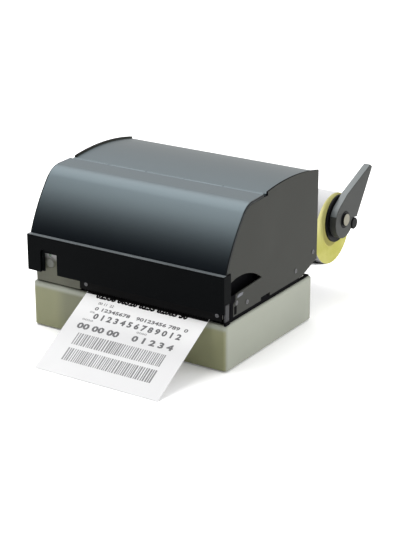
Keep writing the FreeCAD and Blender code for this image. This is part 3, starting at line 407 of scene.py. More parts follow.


# Deck and side plates
# A black steel deck sits on the base. The side plates are steel in a fine textured charcoal paint,
# with black upper edges and, low at the front, a steel catch tab beside black plates that are
# painted shade for a slot, the front corner and, on the right, the gap above the base. A thin
# black sheet behind the leaf-shaped opening of each plate, where a finger lifts the hood, is its
# painted shade.

black_steel = surface("black_steel", (0.002, 0.002, 0.0025), (0.004, 0.004, 0.005), 500.0, (0.5, 0.6),
                      0.1, Specular_IOR_Level=0.012)
cad_piece("deck", "deck_plate", "black_steel", black_steel, 0.25)

body_paint = painted("body_paint", (0.030, 0.031, 0.026), (0.038, 0.039, 0.034), 1500.0, 0.55, 0.2,
                     Specular_IOR_Level=0.16)
black_from, sheet_thick = 100.0, 1.0
sheet_outline = [(6.0, 51.5), (66.0, 51.5), (66.0, 92.0), (60.0, 98.0), (8.0, 98.0), (6.0, 96.0)]
for side, sheet_x in (("left", -111.6), ("right", 110.6)):
    node = side + "_side_plate"
    plate = Piece("side_plate_" + side, "chassis", "body_paint", body_paint, black_steel).cad(node, 0.35)
    plate.repaint(1, lambda spot, way: abs(way.x) < 0.8 and spot.z > black_from)
    plate.done(node)
    # Painted shade: a black sheet behind the leaf-shaped opening.
    Piece("shade_sheet_" + side, "chassis", "black_steel", black_steel).prism(
        sheet_outline, sheet_x, sheet_x + sheet_thick, 0.2).done()

strip_steel = surface("strip_steel", (0.014, 0.014, 0.016), (0.026, 0.026, 0.03), 500.0,
                      (0.45, 0.55), 0.08, Metallic=0.3)
cad_piece("corner_strip", "corner_post", "port_steel", strip_steel, 0.3)
catch_steel = surface("catch_steel", (0.1, 0.105, 0.12), (0.16, 0.165, 0.185), 500.0, (0.4, 0.5), 0.08,
                      Metallic=0.4)
side_face, catch_thick = extent("right_side_plate", "X")[1], 0.4
tongue = [(20.5, 73.5), (30.0, 74.0), (31.5, 76.6), (24.0, 77.2), (20.5, 75.6)]
# Painted shade: black plates for the dark inside of a slot and the dark front corner, and a black block
# for the gap round the foot of the corner strip.
slot_shade = [(15.2, 57.6), (19.0, 57.6), (19.0, 66.0), (15.2, 66.0)]
corner_shade_plate = [(7.0, 54.5), (12.6, 54.5), (12.6, 69.0), (17.0, 73.0), (17.0, 79.0), (7.0, 79.0)]
gap_shade_block = (117.8, 120.4, -1.5, 6.6, 50.9, 54.6)     # round the corner strip
for side, low in (("right", side_face), ("left", -side_face - catch_thick)):
    catch = Piece("catch_" + side, "chassis", "port_steel", catch_steel, black_steel)
    for outline, finish in ((tongue, 0), (slot_shade, 1), (corner_shade_plate, 1)):
        catch.prism(outline, low, low + catch_thick, 0.12, finish)
    if side == "right":
        catch.block(*gap_shade_block, 0.3, finish=1)
    catch.done()


# Rear cover and rear panel
# The arched cover behind the hinge has the hood's satin charcoal with its painted shade: darker
# and greener to the rear, near black towards the bottom and at its outer rims.
# The rear wall below it is steel in the paint of the side plates, with two columns of air slots.

hood_plastic, place, shader = material("hood_plastic", Metallic=0.8, Specular_IOR_Level=0.5)
grain = place.noise(1700.0, 2.0)
cloud = place.noise(6.0, 2.0)
blue_grey = cloud.mix((0.081, 0.102, 0.112), (0.093, 0.115, 0.125))
# Painted shade: darker and greener towards the rear.
shaded_rear_grey = cloud.mix((0.066, 0.082, 0.086), (0.077, 0.094, 0.098))
# Painted shade: near black at 105 mm height, the full colour from 152 mm up.
foot_shade_mix = place.part(2).between(0.105, 0.152).mix(
    (0.0055, 0.009, 0.013), place.part(1).between(-0.03, 0.06).mix(blue_grey, shaded_rear_grey))
# Painted shade: near black on the outermost millimetre of each side, over the edge's highlight.
rim_shade = place.part(0).math("ABSOLUTE").between(0.1182, 0.1192)
dress(shader, rim_shade.mix(foot_shade_mix, (0.006, 0.008, 0.009)), 0.36 + cloud * 0.06 + grain * 0.05,
      grain, 0.1, 0.0003)
cad_piece("top_cover", "rear_top_cover", "body_paint", hood_plastic, 0.3)
cad_piece("rear_wall", "rear_panel", "body_paint", body_paint, 0.3)


# Hood and fascia
# The lid is one bent moulding in satin charcoal, with knuckles round a steel pin along its rear
# edge and two ribs inside. The black fascia sits under the lid's foot and swings with it; its
# ledge is paler, a painted highlight of the ledge's top.

hinge = middle("hinge_pin")
hood_foot, hood_top = extent("hood", "Z")
hood_half = extent("hood", "X")[1]
hinge_clear, pin_radius, knuckle_radius, knuckle_play = 3.4, 1.5, 3.0, 0.15
hood_wall, rib_wall, rib_depth, rib_places = 2.5, 1.5, 4.0, (-60.0, 60.0)
flat_length, flat_slope = 21.0, 2.2                   # in front of the hinge, degrees
bend_radius, bend_turn, front_radius = 23.6, 47.7, 198.0


def hood_curve(inset):
    """(y, z) points of the section of the hood, from hinge to foot, moved inward by inset."""
    heading = math.radians(180.0 + flat_slope)
    inward = heading + math.pi / 2
    y = hinge[0] - hinge_clear + inset * math.cos(inward)
    z = hood_top + inset * math.sin(inward)
    points = [(y, z)]
    y, z = y + flat_length * math.cos(heading), z + flat_length * math.sin(heading)
    points.append((y, z))
    for radius, turn, steps in ((bend_radius - inset, math.radians(bend_turn), 16),
                                (front_radius - inset, None, 26)):
        inward = heading + math.pi / 2
        centre = (y + radius * math.cos(inward), z + radius * math.sin(inward))
        if turn is None:
            turn = 2 * math.pi - math.acos((centre[1] - hood_foot) / radius) - heading
        for i in range(1, steps + 1):
            angle = heading - math.pi / 2 + turn * i / steps
            points.append((centre[0] + radius * math.cos(angle), centre[1] + radius * math.sin(angle)))
        (y, z), heading = points[-1], heading + turn
    return points


lid = Piece("lid", "hood", "hood_plastic", hood_plastic)
lid.prism(hood_curve(0.0) + hood_curve(hood_wall)[::-1], -hood_half, hood_half, 0.7, segments=3)
rib = hood_curve(hood_wall - 0.1) + hood_curve(hood_wall + rib_depth)[::-1]
for x in rib_places:
    lid.prism(rib, x, x + rib_wall, 0.2)
pin_low, pin_high = extent("hinge_pin", "X")
knuckle = (pin_high - pin_low) / 5
for i in (1, 3):
    x0, x1 = pin_low + i * knuckle + knuckle_play, pin_low + (i + 1) * knuckle - knuckle_play
    lid.tube(x0, x1, hinge, knuckle_radius, pin_radius + 0.05, steps=40)
    lid.block(x0, x1, hinge[0] - 3.7, hinge[0] - 0.1, hinge[1] + 0.3, hinge[1] + 2.2, 0.2)
lid.done("hood")

fascia_plastic = surface("fascia_plastic", (0.0022, 0.0026, 0.003), (0.0034, 0.004, 0.0045), 1500.0,
                         (0.4, 0.5), 0.1, Specular_IOR_Level=0.02)
# Painted highlight: the ledge on the fascia's top is a paler grey.
ledge_highlight = surface("fascia_ledge_highlight", (0.06, 0.07, 0.076), (0.09, 0.102, 0.108), 900.0,
                        (0.35, 0.45), 0.05)
front = Piece("front_panel", "hood", "fascia_plastic", fascia_plastic, ledge_highlight).cad("fascia", 0.5)
ledge = (-120.4, 120.4, -5.6, -1.3, 103.1, 103.7)
front.block(*ledge, 0.2, finish=1)
notch_frame = [(-104.6, 64.6), (-101.4, 64.6), (-101.4, 85.0), (-83.4, 85.0), (-83.4, 64.6),
               (-82.4, 64.6), (-82.4, 91.0), (-104.6, 91.0)]
front.prism(notch_frame, -3.1, -1.1, 0.3, axis="Y")
front.done("fascia")

ground_steel = surface("ground_steel", (0.5, 0.5, 0.5), (0.66, 0.66, 0.66), 900.0, (0.18, 0.3), 0.05,
                       (0.1, 1, 1), Metallic=1.0)
Piece("hinge_rod", "chassis", "ground_steel", ground_steel).shaft("hinge_pin", pin_radius).done(
    "hinge_pin")


# Control panel, key and lamp
# A moulding left of the label slot, dark olive-grey low down as painted shade under the fascia
# and pale grey up its tongue, which shows through a notch of the fascia and carries a round feed
# key with a dished top and a green lamp window.

panel_plastic, place, shader = material("panel_plastic", Specular_IOR_Level=0.3)
cloud = place.noise(9.0, 3.0, 0.4)
peel = place.noise(1300.0, 2.0)
under_fascia_shade = cloud.mix((0.078, 0.08, 0.054), (0.105, 0.107, 0.076))
pale_grey = cloud.mix((0.28, 0.28, 0.28), (0.35, 0.35, 0.35))
# Painted shade: dark olive below 75 mm, under the fascia, pale grey above 82 mm.
dress(shader, place.part(2).between(0.075, 0.082).mix(under_fascia_shade, pale_grey), 0.4 + cloud * 0.1, peel, 0.14)
key_place, lamp_place = middle("feed_button", "XZ"), middle("status_light", "XZ")
panel = Piece("panel", "chassis", "panel_plastic", panel_plastic).cad("control_panel", 0.35)
bezel_radius, bezel_bore = 6.6, 5.35
panel.tube(0.9, 1.6, key_place, bezel_radius, bezel_bore, axis="Y")
panel.done("control_panel")

key_plastic = surface("key_plastic", (0.1, 0.104, 0.09), (0.135, 0.14, 0.122), 1400.0, (0.38, 0.48), 0.08)
key_section = [(0.9, 0), (0.75, 2.4), (0.5, 4.2), (0.6, 4.7), (0.9, 5.0), (3.75, 5.0), (3.75, 6.3),
               (4.7, 6.3), (4.7, 0)]
Piece("feed_key", "feed_key", "key_plastic", key_plastic).turned(
    key_section, key_place, axis="Y", steps=48).done("feed_button")

lamp_lens = surface("lamp_lens", (0.1, 0.17, 0.11), (0.15, 0.23, 0.15), 300.0, (0.1, 0.2), 0.02,
                    Coat_Weight=0.6)
lens_section = [(1.2, 0), (1.3, 0.9), (1.7, 1.6), (2.1, 1.8), (4.0, 1.8), (4.0, 0)]
Piece("lamp_window", "chassis", "lamp_lens", lamp_lens).turned(
    lens_section, lamp_place, axis="Y", steps=32).done("status_light")


# Tear bar
# A black steel strip across the slot. Its lower edge is ground to fine teeth that cut the
# label stock when it is pulled up; the teeth are copies of one, set out by geometry nodes.

class Graph:
    """A geometry nodes tree on a mesh of points: copies of one shape, one copy to a point."""

    def __init__(self, name, **sizes):
        self.tree = bpy.data.node_groups.new(name, "GeometryNodeTree")
        self.tree.is_modifier = True
        self.sizes = {}
        face = self.tree.interface
        face.new_socket(name="Geometry", in_out="INPUT", socket_type="NodeSocketGeometry")
        face.new_socket(name="Geometry", in_out="OUTPUT", socket_type="NodeSocketGeometry")
        for key, value in sizes.items():
            kind = {int: "NodeSocketInt", float: "NodeSocketFloat"}[type(value)]
            made = face.new_socket(name=key, in_out="INPUT", socket_type=kind)
            made.default_value = value
            self.sizes[made.identifier] = value
        self.start = self.tree.nodes.new("NodeGroupInput")

    def node(self, kind, settings=(), inputs=(), out=0):
        """Add a node; inputs are values, sockets or names of the tree's own inputs."""
        made = self.tree.nodes.new(kind)
        for key, value in dict(settings).items():
            setattr(made, key, value)
        for key, value in dict(inputs).items():
            if isinstance(value, str) and value in self.start.outputs:
                value = self.start.outputs[value]
            if isinstance(value, bpy.types.NodeSocket):
                self.tree.links.new(value, made.inputs[key])
            else:
                made.inputs[key].default_value = value
        return made.outputs[out]

    def moved(self, shape, **values):
        """The shape after a Transform node with the given Translation, Rotation or Scale."""
        return self.node("GeometryNodeTransform", (), {"Geometry": shape, **values})

    def build(self, name, points, shape, finish, turn=None, aims=()):
        """Mesh of the realised copies of shape on the points, in design millimetres."""
        inputs = {"Points": "Geometry", "Instance": shape}
        if turn is not None:
            inputs["Rotation"] = turn
        copies = self.node("GeometryNodeInstanceOnPoints", (), inputs)
        real = self.node("GeometryNodeRealizeInstances", (), {0: copies})
        coloured = self.node("GeometryNodeSetMaterial", (), {0: real, "Material": finish})
        end = self.tree.nodes.new("NodeGroupOutput")
        self.tree.links.new(coloured, end.inputs[0])
        mesh = bpy.data.meshes.new(name)
        mesh.from_pydata(points, [], [])
        if aims:
            layer = mesh.attributes.new("aim", "FLOAT_VECTOR", "POINT")
            for item, value in zip(layer.data, aims):
                item.vector = value
        carrier = bpy.data.objects.new(name, mesh)
        scene.collection.objects.link(carrier)
        modifier = carrier.modifiers.new(name, "NODES")
        modifier.node_group = self.tree
        for identifier, value in self.sizes.items():
            modifier[identifier] = value
        made = evaluated(carrier)
        bpy.data.objects.remove(carrier)
        return made


def take(piece, mesh, bevel=0.0):
    """Take a ready mesh into a piece."""
    solid = bmesh.new()
    solid.from_mesh(mesh)
    return piece.add(solid, bevel)


tear_steel = surface("tear_steel", (0.002, 0.002, 0.002), (0.004, 0.004, 0.0045), 700.0,
                     (0.45, 0.55), 0.06, Specular_IOR_Level=0.04)
bar_left, bar_right = extent("tear_bar", "X")
bar_front, bar_rear = extent("tear_bar", "Y")
bar_foot, bar_top = 54.6, 64.0
hole_radius, tear_screw_z, tear_screw_x = 1.6, 60.6, (-48.5, 110.5)
twelfths = [i * math.pi / 6 for i in range(12)]
tooth_pitch, tooth_count = 3.0, 52
first_tooth = middle("label_web", "XY")[0] - tooth_pitch * (tooth_count - 1) / 2
teeth = Graph("tear_teeth", Radius=1.5, Depth=1.9)
wedge = teeth.node("GeometryNodeMeshCone", {"fill_type": "NGON"}, {
    "Vertices": 4, "Radius Top": 0.05, "Radius Bottom": "Radius", "Depth": "Depth"})
wedge = teeth.moved(wedge, Rotation=(math.pi, 0.0, 0.0), Scale=(1.0, 0.5, 1.0))
strip = Piece("tear_strip", "chassis", "black_steel", tear_steel)
strip.prism([(bar_left, bar_foot), (bar_right, bar_foot), (bar_right, bar_top), (bar_left, bar_top)],
            bar_front, bar_rear, 0.25, axis="Y",
            holes=[[(x + hole_radius * math.cos(a), tear_screw_z + hole_radius * math.sin(a))
                    for a in twelfths] for x in tear_screw_x])
spots = [(first_tooth + i * tooth_pitch, (bar_front + bar_rear) / 2, bar_foot + 0.1)
         for i in range(tooth_count)]
take(strip, teeth.build("teeth", spots, wedge, tear_steel))
strip.done("tear_bar")


# Label and its print
# Matt white label stock runs from the roll over the platen, out below the tear bar and down
# to the table. Its thermal print is bare figures, bars and rules, a thin skin on it, with a black
# band below the tear bar that is painted shade.

paper, place, shader = material("label_paper", Specular_IOR_Level=0.3)
fibre = place.noise(1500.0, 3.0)
cloud = place.noise(30.0, 2.0)
low_paper_shade = (fibre * 0.5 + cloud * 0.5).mix((0.61, 0.61, 0.615), (0.66, 0.66, 0.665))
# Painted light: near white above 50 mm, against the shade of the tear bar, and greyer below 28 mm, where
# the lamps light the stock more.
dress(shader, place.part(2).between(0.028, 0.05).mix(low_paper_shade, (0.9, 0.9, 0.9)), 0.7 + fibre * 0.2,
      fibre, 0.06, 0.0002)
cad_piece("label_stock", "label_web", "label_paper", paper, crease=10.0)

ink, place, shader = material("print_ink")
spots = place.noise(2400.0, 1.0).between(0.25, 0.5)
dress(shader, spots.mix((0.2, 0.2, 0.2), (0.07, 0.07, 0.075)), 0.45 + spots * 0.1)
black_ink = surface("black_ink", (0.004, 0.004, 0.004), (0.01, 0.01, 0.01), 2400.0, (0.6, 0.7), 0.02,
                    Specular_IOR_Level=0.02)
bar_ink = surface("bar_ink", (0.26, 0.26, 0.265), (0.14, 0.14, 0.145), 2400.0, (0.45, 0.55))
printed = Piece("label_print", "chassis", "label_paper", ink, black_ink, bar_ink)
bend_y, bend_z, slope = 21.95, 65.215, math.radians(30.0)     # where the stock turns down
ink_foot = 0.3
ink_rise = Vector((0.0, -math.sin(slope), math.cos(slope))) * 0.03


def on_label(x, down):
    """Place of the print's foot, a distance down the label from the bend."""
    return Vector((x, bend_y - down * math.cos(slope) - ink_foot * math.sin(slope),
                   bend_z - down * math.sin(slope) + ink_foot * math.cos(slope)))


def figures(text, x0, x1, down, height, bold=0.0, finish=0):
    """Row of figures that fills x0 to x1, its foot at a distance down the label."""
    curve = bpy.data.curves.new("figures", "FONT")
    curve.body, curve.offset, curve.resolution_u = text, bold, 2
    carrier = bpy.data.objects.new("figures", curve)
    scene.collection.objects.link(carrier)
    bpy.context.view_layer.update()
    flat = evaluated(carrier)
    bpy.data.objects.remove(carrier)
    solid = bmesh.new()
    solid.from_mesh(flat)
    left, right = min(v.co.x for v in solid.verts), max(v.co.x for v in solid.verts)
    top = max(v.co.y for v in solid.verts)
    for vert in solid.verts:
        x = x0 + (vert.co.x - left) / (right - left) * (x1 - x0)
        vert.co = on_label(x, down - vert.co.y / top * height)
    extrude(solid, ink_rise)
    printed.add(solid, finish=finish)


def mark(x0, x1, top, foot, finish=0):
    """Printed rectangle."""
    solid = bmesh.new()
    corners = ((x0, top), (x1, top), (x1, foot), (x0, foot))
    solid.faces.new([solid.verts.new(on_label(x, down)) for x, down in corners])
    extrude(solid, ink_rise)
    printed.add(solid, finish=finish)


# Painted shade: a solid black band just below the tear bar.
mark(-47.6, 99.6, 24.0, 28.0, 1)
figures("02358 66320 8253 62085 30", -35.0, 77.0, 30.8, 7.5, 0.07, 1)
figures("00 11  22", -27.0, -8.0, 38.5, 3.2, 0.01)
figures("0 12345678   90123456 789  0", -27.0, 86.0, 46.0, 4.2, 0.03)
figures("0 1 2 3 4 5 6 7 8 9 0 1 2", -23.0, 83.0, 56.5, 7.0, 0.045)
figures("000", -30.0, -24.0, 50.5, 2.2)
figures("00 00 00", -34.0, 17.5, 71.5, 7.0, 0.045)
figures("0 1 2 3 4", 33.0, 82.0, 71.0, 7.0, 0.045)
figures("0000", -33.0, -20.0, 61.0, 2.2)
figures("0000", 34.0, 46.0, 61.0, 2.2)
dice = random.Random(11)
for x0, x1, top, foot in ((-27.0, 80.0, 77.0, 92.0), (-26.5, 81.0, 96.5, 112.5)):
    x = x0
    while x < x1:
        wide = dice.choice((1.1, 1.4, 1.9))
        mark(x, min(x + wide, x1), top, foot, 2)
        x += wide + dice.choice((0.9, 1.2, 1.5))
printed.done()


# Frames, platen and gears
# Two zinc plated frames carry the mechanism. The rubber platen turns in bronze bushes, and
# moulded acetal gears on studs of the left frame join it to the motor and the ribbon take-up.
# Each has a raised hub and a raised ring inside its teeth.

for node in ("frame_left", "frame_right", "motor_plate"):
    cad_piece(node + "_sheet", node, "zinc_steel", zinc, 0.2)

shaft_radius, platen_radius, stud_bore = 4.0, 7.8, 3.1
sleeve_rubber = surface("platen_rubber", (0.018, 0.018, 0.019), (0.03, 0.03, 0.031), 700.0,
                        (0.65, 0.8), 0.15)
Piece("platen_sleeve", "platen", "platen_rubber", sleeve_rubber).tube(
    *extent("platen_rubber", "X"), middle("platen_shaft"), platen_radius, shaft_radius,
    edge=0.6).done("platen_rubber")
Piece("platen_axle", "platen", "ground_steel", ground_steel).shaft("platen_shaft", shaft_radius).done(
    "platen_shaft")
bronze = surface("bronze", (0.33, 0.2, 0.09), (0.46, 0.3, 0.14), 600.0, (0.32, 0.45), 0.08, Metallic=1.0)
cad_piece("bushes", "platen_bearings", "bush_bronze", bronze, 0.25)

acetal = surface("acetal", (0.66, 0.65, 0.6), (0.74, 0.73, 0.69), 300.0, (0.35, 0.45), 0.03)
gear_module, raised = 0.75, 0.5
left_face, right_face = extent("takeup_gear", "X")
for node, body, teeth_count, bore in (
        ("platen_gear", "platen", 19, shaft_radius), ("idler_gear_low", "idler_low", 32, stud_bore),
        ("idler_gear_mid", "idler_mid", 48, stud_bore), ("idler_gear_high", "idler_high", 40, stud_bore),
        ("takeup_gear", "takeup", 28, shaft_radius)):
    # With 19 teeth, the platen gear is not the same above and below its shaft.
    centre = middle("platen_shaft" if body == "platen" else node)
    pitch_radius = gear_module * teeth_count / 2
    wheel = Piece(node.replace("gear", "wheel"), body, "white_acetal", acetal).cad(node, 0.12, segments=1)
    for x0, x1 in ((left_face - raised, left_face), (right_face, right_face + raised)):
        wheel.tube(x0, x1, centre, bore + 1.6, bore, edge=0.15, steps=40)
        wheel.tube(x0 + 0.1, x1 - 0.1, centre, pitch_radius - 1.3, pitch_radius - 2.2, edge=0.1)
    wheel.done(node)
cad_piece("motor_wheel", "motor_pinion", "ground_steel", ground_steel, 0.1, "pinion", segments=1)
lacquer = surface("motor_black", (0.014, 0.014, 0.016), (0.028, 0.028, 0.03), 400.0, (0.35, 0.45), 0.08)
laminated, place, shader = material("motor_stack", Metallic=0.9)
sheets = (place.part(0) * 3600.0).math("SINE")
dress(shader, sheets.between(-0.6, 0.6).mix((0.12, 0.12, 0.12), (0.3, 0.3, 0.29)), 0.35 + sheets * 0.08)
motor_y, motor_z, stack_half = 94.27, 76.88, 21.3
motor = Piece("motor", "chassis", "motor_black", lacquer, laminated).cad("stepper_motor", 0.5)
motor.block(-95.0, -78.0, motor_y - stack_half, motor_y + stack_half,
            motor_z - stack_half, motor_z + stack_half, 0.6, finish=1)
motor_plug = (-99.0, -88.0, 86.0, 102.0, 98.0, 101.5)
motor.block(*motor_plug, 0.3)
motor.done("stepper_motor")


# Print head, springs, cam and head lever
# An alloy head with a finned heat sink hangs from a bent carrier that swings on a ground
# shaft. Coil springs beside the boss press it down, and two cams on the lever's shaft lift it.

alloy = surface("head_alloy", (0.5, 0.51, 0.52), (0.64, 0.65, 0.66), 500.0, (0.25, 0.38), 0.05,
                (0.1, 1, 1), Metallic=1.0)
for node, bevel in (("print_head", 0.25), ("head_heatsink", 0.12)):
    cad_piece(node + "_alloy", node, "head_alloy", alloy, bevel, "head")
cad_piece("head_carrier", "head_bracket", "zinc_steel", zinc, 0.2, "head")
Piece("head_axle", "chassis", "ground_steel", ground_steel).shaft("head_pivot_shaft", 3.0).done(
    "head_pivot_shaft")
coil = Graph("coil", Turns=7.0, Radius=4.0, Length=8.2, Wire=0.5)
turns = coil.node("GeometryNodeCurveSpiral", (), {
    "Resolution": 24, "Rotations": "Turns", "Start Radius": "Radius", "End Radius": "Radius",
    "Height": "Length"})
section = coil.node("GeometryNodeCurvePrimitiveCircle", (), {"Resolution": 8, "Radius": "Wire"})
wire = coil.node("GeometryNodeCurveToMesh", (), {
    "Curve": turns, "Profile Curve": section, "Fill Caps": True})
wire = coil.moved(wire, Rotation=(0.0, math.pi / 2, 0.0))
springs = Piece("springs", "chassis", "ground_steel", ground_steel)
spring_ends = (-48.9, 92.7)
spots = [(x, *middle("head_pivot_shaft")) for x in spring_ends]
take(springs, coil.build("coils", spots, wire, ground_steel))
springs.done("head_springs")
cad_piece("cam_axle", "cam_shaft", "ground_steel", ground_steel, 0.15, "lever")
cad_piece("head_handle", "head_lever", "key_plastic", key_plastic, 0.4, "lever")


# Ribbon
# The ink film runs from the supply roll under the head and up to the take-up roll, both on
# fluted plastic spindles. The wound film shows fine rings at the ends of the rolls.

moulding = surface("holder_plastic", (0.005, 0.005, 0.0055), (0.009, 0.009, 0.0095), 1200.0, (0.4, 0.5),
                   0.08, Specular_IOR_Level=0.06)


def wound(name, dark, light, centre, pitch, rough, lit_top=None, **constants):
    """Wound sheet: its ends show rings about the centre, its outside the plain sheet.
    A paler colour, where given, is a painted highlight that the ends turn to towards the top.
    """
    made, place, shader = material(name, **constants)
    along = place.part(1) - (centre[0] - origin_y) / 1000
    up = place.part(2) - centre[1] / 1000
    radius = (along * along + up * up).math("SQRT")
    rings = (radius * (2 * math.pi * 1000 / pitch) + place.noise(60.0) * 1.5).math("SINE") * 0.5 + 0.5
    fine = place.noise(900.0, 2.0)
    colour = (rings * 0.6 + fine * 0.4).mix(dark, light)
    if lit_top:
        # Painted highlight: paler towards the top.
        top_highlight = up.between(-0.02, 0.03) * 0.8 + place.noise(45.0, 2.0).between(0.45, 0.7) * 0.2
        colour = top_highlight.mix(colour, lit_top)
    dress(shader, colour, rough + fine * 0.1, rings, 0.15, 0.0002)
    return made


film_low, film_high = extent("takeup_ribbon", "X")
core_radius = 12.0
for body, radius in (("takeup", 14.0), ("supply", 24.0)):
    centre = middle(body + "_spindle")
    film_ends = wound(body + "_ink", (0.006, 0.006, 0.008), (0.016, 0.016, 0.02), centre, 0.8, 0.2)
    Piece(body + "_film", body, "ink_ribbon", film_ends).tube(
        film_low, film_high, centre, radius, core_radius, steps=96).done(body + "_ribbon")
    core = Piece(body + "_core", body, "holder_plastic", moulding)
    core.shaft(body + "_spindle", shaft_radius)
    core.rod(film_low - 1.0, film_high + 1.0, centre, core_radius - 0.1, edge=0.6)
    flutes = Graph(body + "_flutes", Sides=8, Radius=0.5, Length=film_high - film_low + 1.8)
    flute = flutes.node("GeometryNodeMeshCylinder", (), {
        "Vertices": "Sides", "Radius": "Radius", "Depth": "Length"})
    flute = flutes.moved(flute, Rotation=(0.0, math.pi / 2, 0.0))
    spots = [((film_low + film_high) / 2, centre[0] + (core_radius - 0.3) * math.cos(a),
              centre[1] + (core_radius - 0.3) * math.sin(a)) for a in twelfths]
    take(core, flutes.build(body + "_flutes", spots, flute, moulding))
    core.done(body + "_spindle")
film = surface("ink_film", (0.006, 0.006, 0.008), (0.013, 0.013, 0.017), 300.0, (0.16, 0.26), 0.03,
               (0.05, 1, 1))
cad_piece("film_sheet", "ribbon_film", "ink_ribbon", film, crease=50.0)
bars = Piece("guide_bars", "chassis", "ground_steel", ground_steel)
bar_places = ((58.0, 69.45), (13.5, 70.05), (24.0, 113.0))
for centre in bar_places:
    bars.rod(*extent("ribbon_guides", "X"), centre, 2.0, steps=32)
bars.done("ribbon_guides")


# Label guides and sensor
# Black moulded edge guides slide on the deck, up to the edges of the stock. A gap sensor in the
# same black plastic looks at the stock from a rail.

for side in ("left", "right"):
    cad_piece(side + "_fence", "guide_" + side, "holder_plastic", moulding, 0.2, "guide_" + side)
cad_piece("gap_sensor", "media_sensor", "holder_plastic", moulding, 0.3)


# Circuit boards and sockets
# The controller and the open power supply stand in the base. Their sockets reach through the
# rear wall: a mains inlet with a rocker switch, a square data socket and a wide one.

board, place, shader = material("board_green", Coat_Weight=0.3)
tracks = place.stretched(260.0, 260.0, 1.0).node("TexVoronoi", {"distance": "CHEBYCHEV"}, {"Scale": 1.0})
speckle = place.noise(700.0, 2.0)
dress(shader, tracks.between(0.28, 0.36).mix((0.03, 0.17, 0.08), (0.018, 0.09, 0.045)),
      0.3 + speckle * 0.15)
component = surface("component_black", (0.012, 0.012, 0.013), (0.03, 0.03, 0.032), 600.0,
                    (0.4, 0.55), 0.1)
for node, board_top in (("mainboard", 12.7), ("power_supply", 10.8)):
    circuit = Piece(node + "_card", "chassis", "board_green", board, component)
    circuit.cad(node, 0.1, segments=1)
    circuit.repaint(1, lambda spot, way: spot.z > board_top)
    circuit.done(node)
socket_black = surface("socket_black", (0.01, 0.01, 0.01), (0.018, 0.018, 0.019), 1000.0,
                       (0.35, 0.45), 0.1)
pin_brass = surface("pin_brass", (0.5, 0.4, 0.2), (0.66, 0.56, 0.32), 900.0, (0.25, 0.35), 0.03,
                    Metallic=1.0)
inlet = Piece("mains_inlet", "chassis", "socket_black", socket_black, pin_brass).cad("power_inlet", 0.4)
inlet.repaint(1, lambda spot, way: -92.5 < spot.x < -75.5 and 158.0 < spot.y < 165.5
              and 22.5 < spot.z < 31.5)
inlet.done("power_inlet")
cad_piece("rocker_key", "power_rocker", "socket_black", socket_black, 0.3, "rocker")
dull_steel = surface("dull_steel", (0.2, 0.2, 0.19), (0.34, 0.33, 0.31), 300.0, (0.4, 0.55), 0.08,
                     Metallic=1.0)
cad_piece("data_sockets", "data_ports", "port_steel", dull_steel, 0.2)


# Roll holder
# A steel arm bolted to the rear wall carries a fixed spindle. The label roll hangs on it by its
# card core, between a stop disc and a black end disc with a raised rim. The paper is white
# outside; the ends of the wound layers and the core are yellow and glow faintly, a painted
# light, and the ends are painted paler towards the top.

cad_piece("holder_arm", "roll_bracket", "black_steel", black_steel, 0.4)
spindle, roll_centre = middle("roll_spindle"), middle("roll_core")
spindle_radius, core_inside, core_outside, roll_radius = 7.0, 20.0, 21.5, 40.0
stop_radius, disc_hub, disc_boss = 24.5, 11.1, 18.5
roll_left, roll_right = extent("label_roll", "X")
axle = Piece("holder_axle", "chassis", "holder_plastic", moulding)
axle.rod(*extent("roll_spindle", "X"), spindle, spindle_radius, edge=0.8)
axle.tube(-52.0, -48.3, spindle, stop_radius, spindle_radius - 0.1, edge=0.5)
axle.done("roll_spindle")

# Painted light: the ends of the layers glow faintly and turn paler towards the top.
layer_edges = wound("roll_edge", (0.19, 0.185, 0.018), (0.24, 0.235, 0.035), roll_centre, 0.55, 0.75,
                    (0.55, 0.52, 0.28), Specular_IOR_Level=0.2,
                    Emission_Color=(1.0, 0.95, 0.32, 1.0), Emission_Strength=0.28)
roll_white = surface("roll_face", (0.46, 0.46, 0.465), (0.5, 0.5, 0.505), 400.0, (0.75, 0.85), 0.04,
                     (4, 1, 1), Specular_IOR_Level=0.2)
roll = Piece("roll", "roll", "roll_paper", roll_white, layer_edges)
dice = random.Random(5)
roll_section = [(roll_right, core_outside)]
roll_section += [(roll_right - dice.uniform(0.0, 0.25), core_outside + 0.2 + i * 1.04)
                 for i in range(18)]
roll_section += [(roll_right - 0.1, roll_radius - 0.1), (roll_right - 0.4, roll_radius),
                 (roll_left + 0.4, roll_radius), (roll_left, roll_radius - 0.3),
                 (roll_left, core_outside)]
roll.turned(roll_section, roll_centre, steps=128, ring=True)
roll.repaint(1, lambda spot, way: abs(way.x) > 0.5 or math.hypot(
    spot.y - roll_centre[0], spot.z - roll_centre[1]) < roll_radius - 0.5)
roll.done("label_roll", crease=60.0)
# Painted light: the card core glows faintly.
cardboard = surface("cardboard", (0.25, 0.235, 0.05), (0.31, 0.29, 0.075), 500.0, (0.8, 0.9), 0.2,
                    Specular_IOR_Level=0.1, Emission_Color=(1.0, 0.93, 0.35, 1.0),
                    Emission_Strength=0.26)
Piece("card_core", "roll", "cardboard", cardboard).tube(
    roll_left, roll_right, roll_centre, core_outside, core_inside, edge=0.2, steps=96).done("roll_core")
disc_bore = spindle_radius + 0.05
disc_section = [(104.7, disc_bore), (104.7, 24.0), (104.6, 25.0), (104.6, 26.2), (104.9, 26.5),
                (106.5, 26.5), (106.8, 26.2), (106.8, 24.6), (106.3, 23.8), (106.3, disc_bore)]
disc = Piece("end_disc", "disc", "holder_plastic", moulding)
disc.turned(disc_section, spindle, steps=96, ring=True)
disc.tube(100.3, 104.9, spindle, disc_hub, disc_bore, edge=0.4)
disc.tube(106.0, 106.8, spindle, disc_boss, disc_bore)
disc.done("roll_disc")


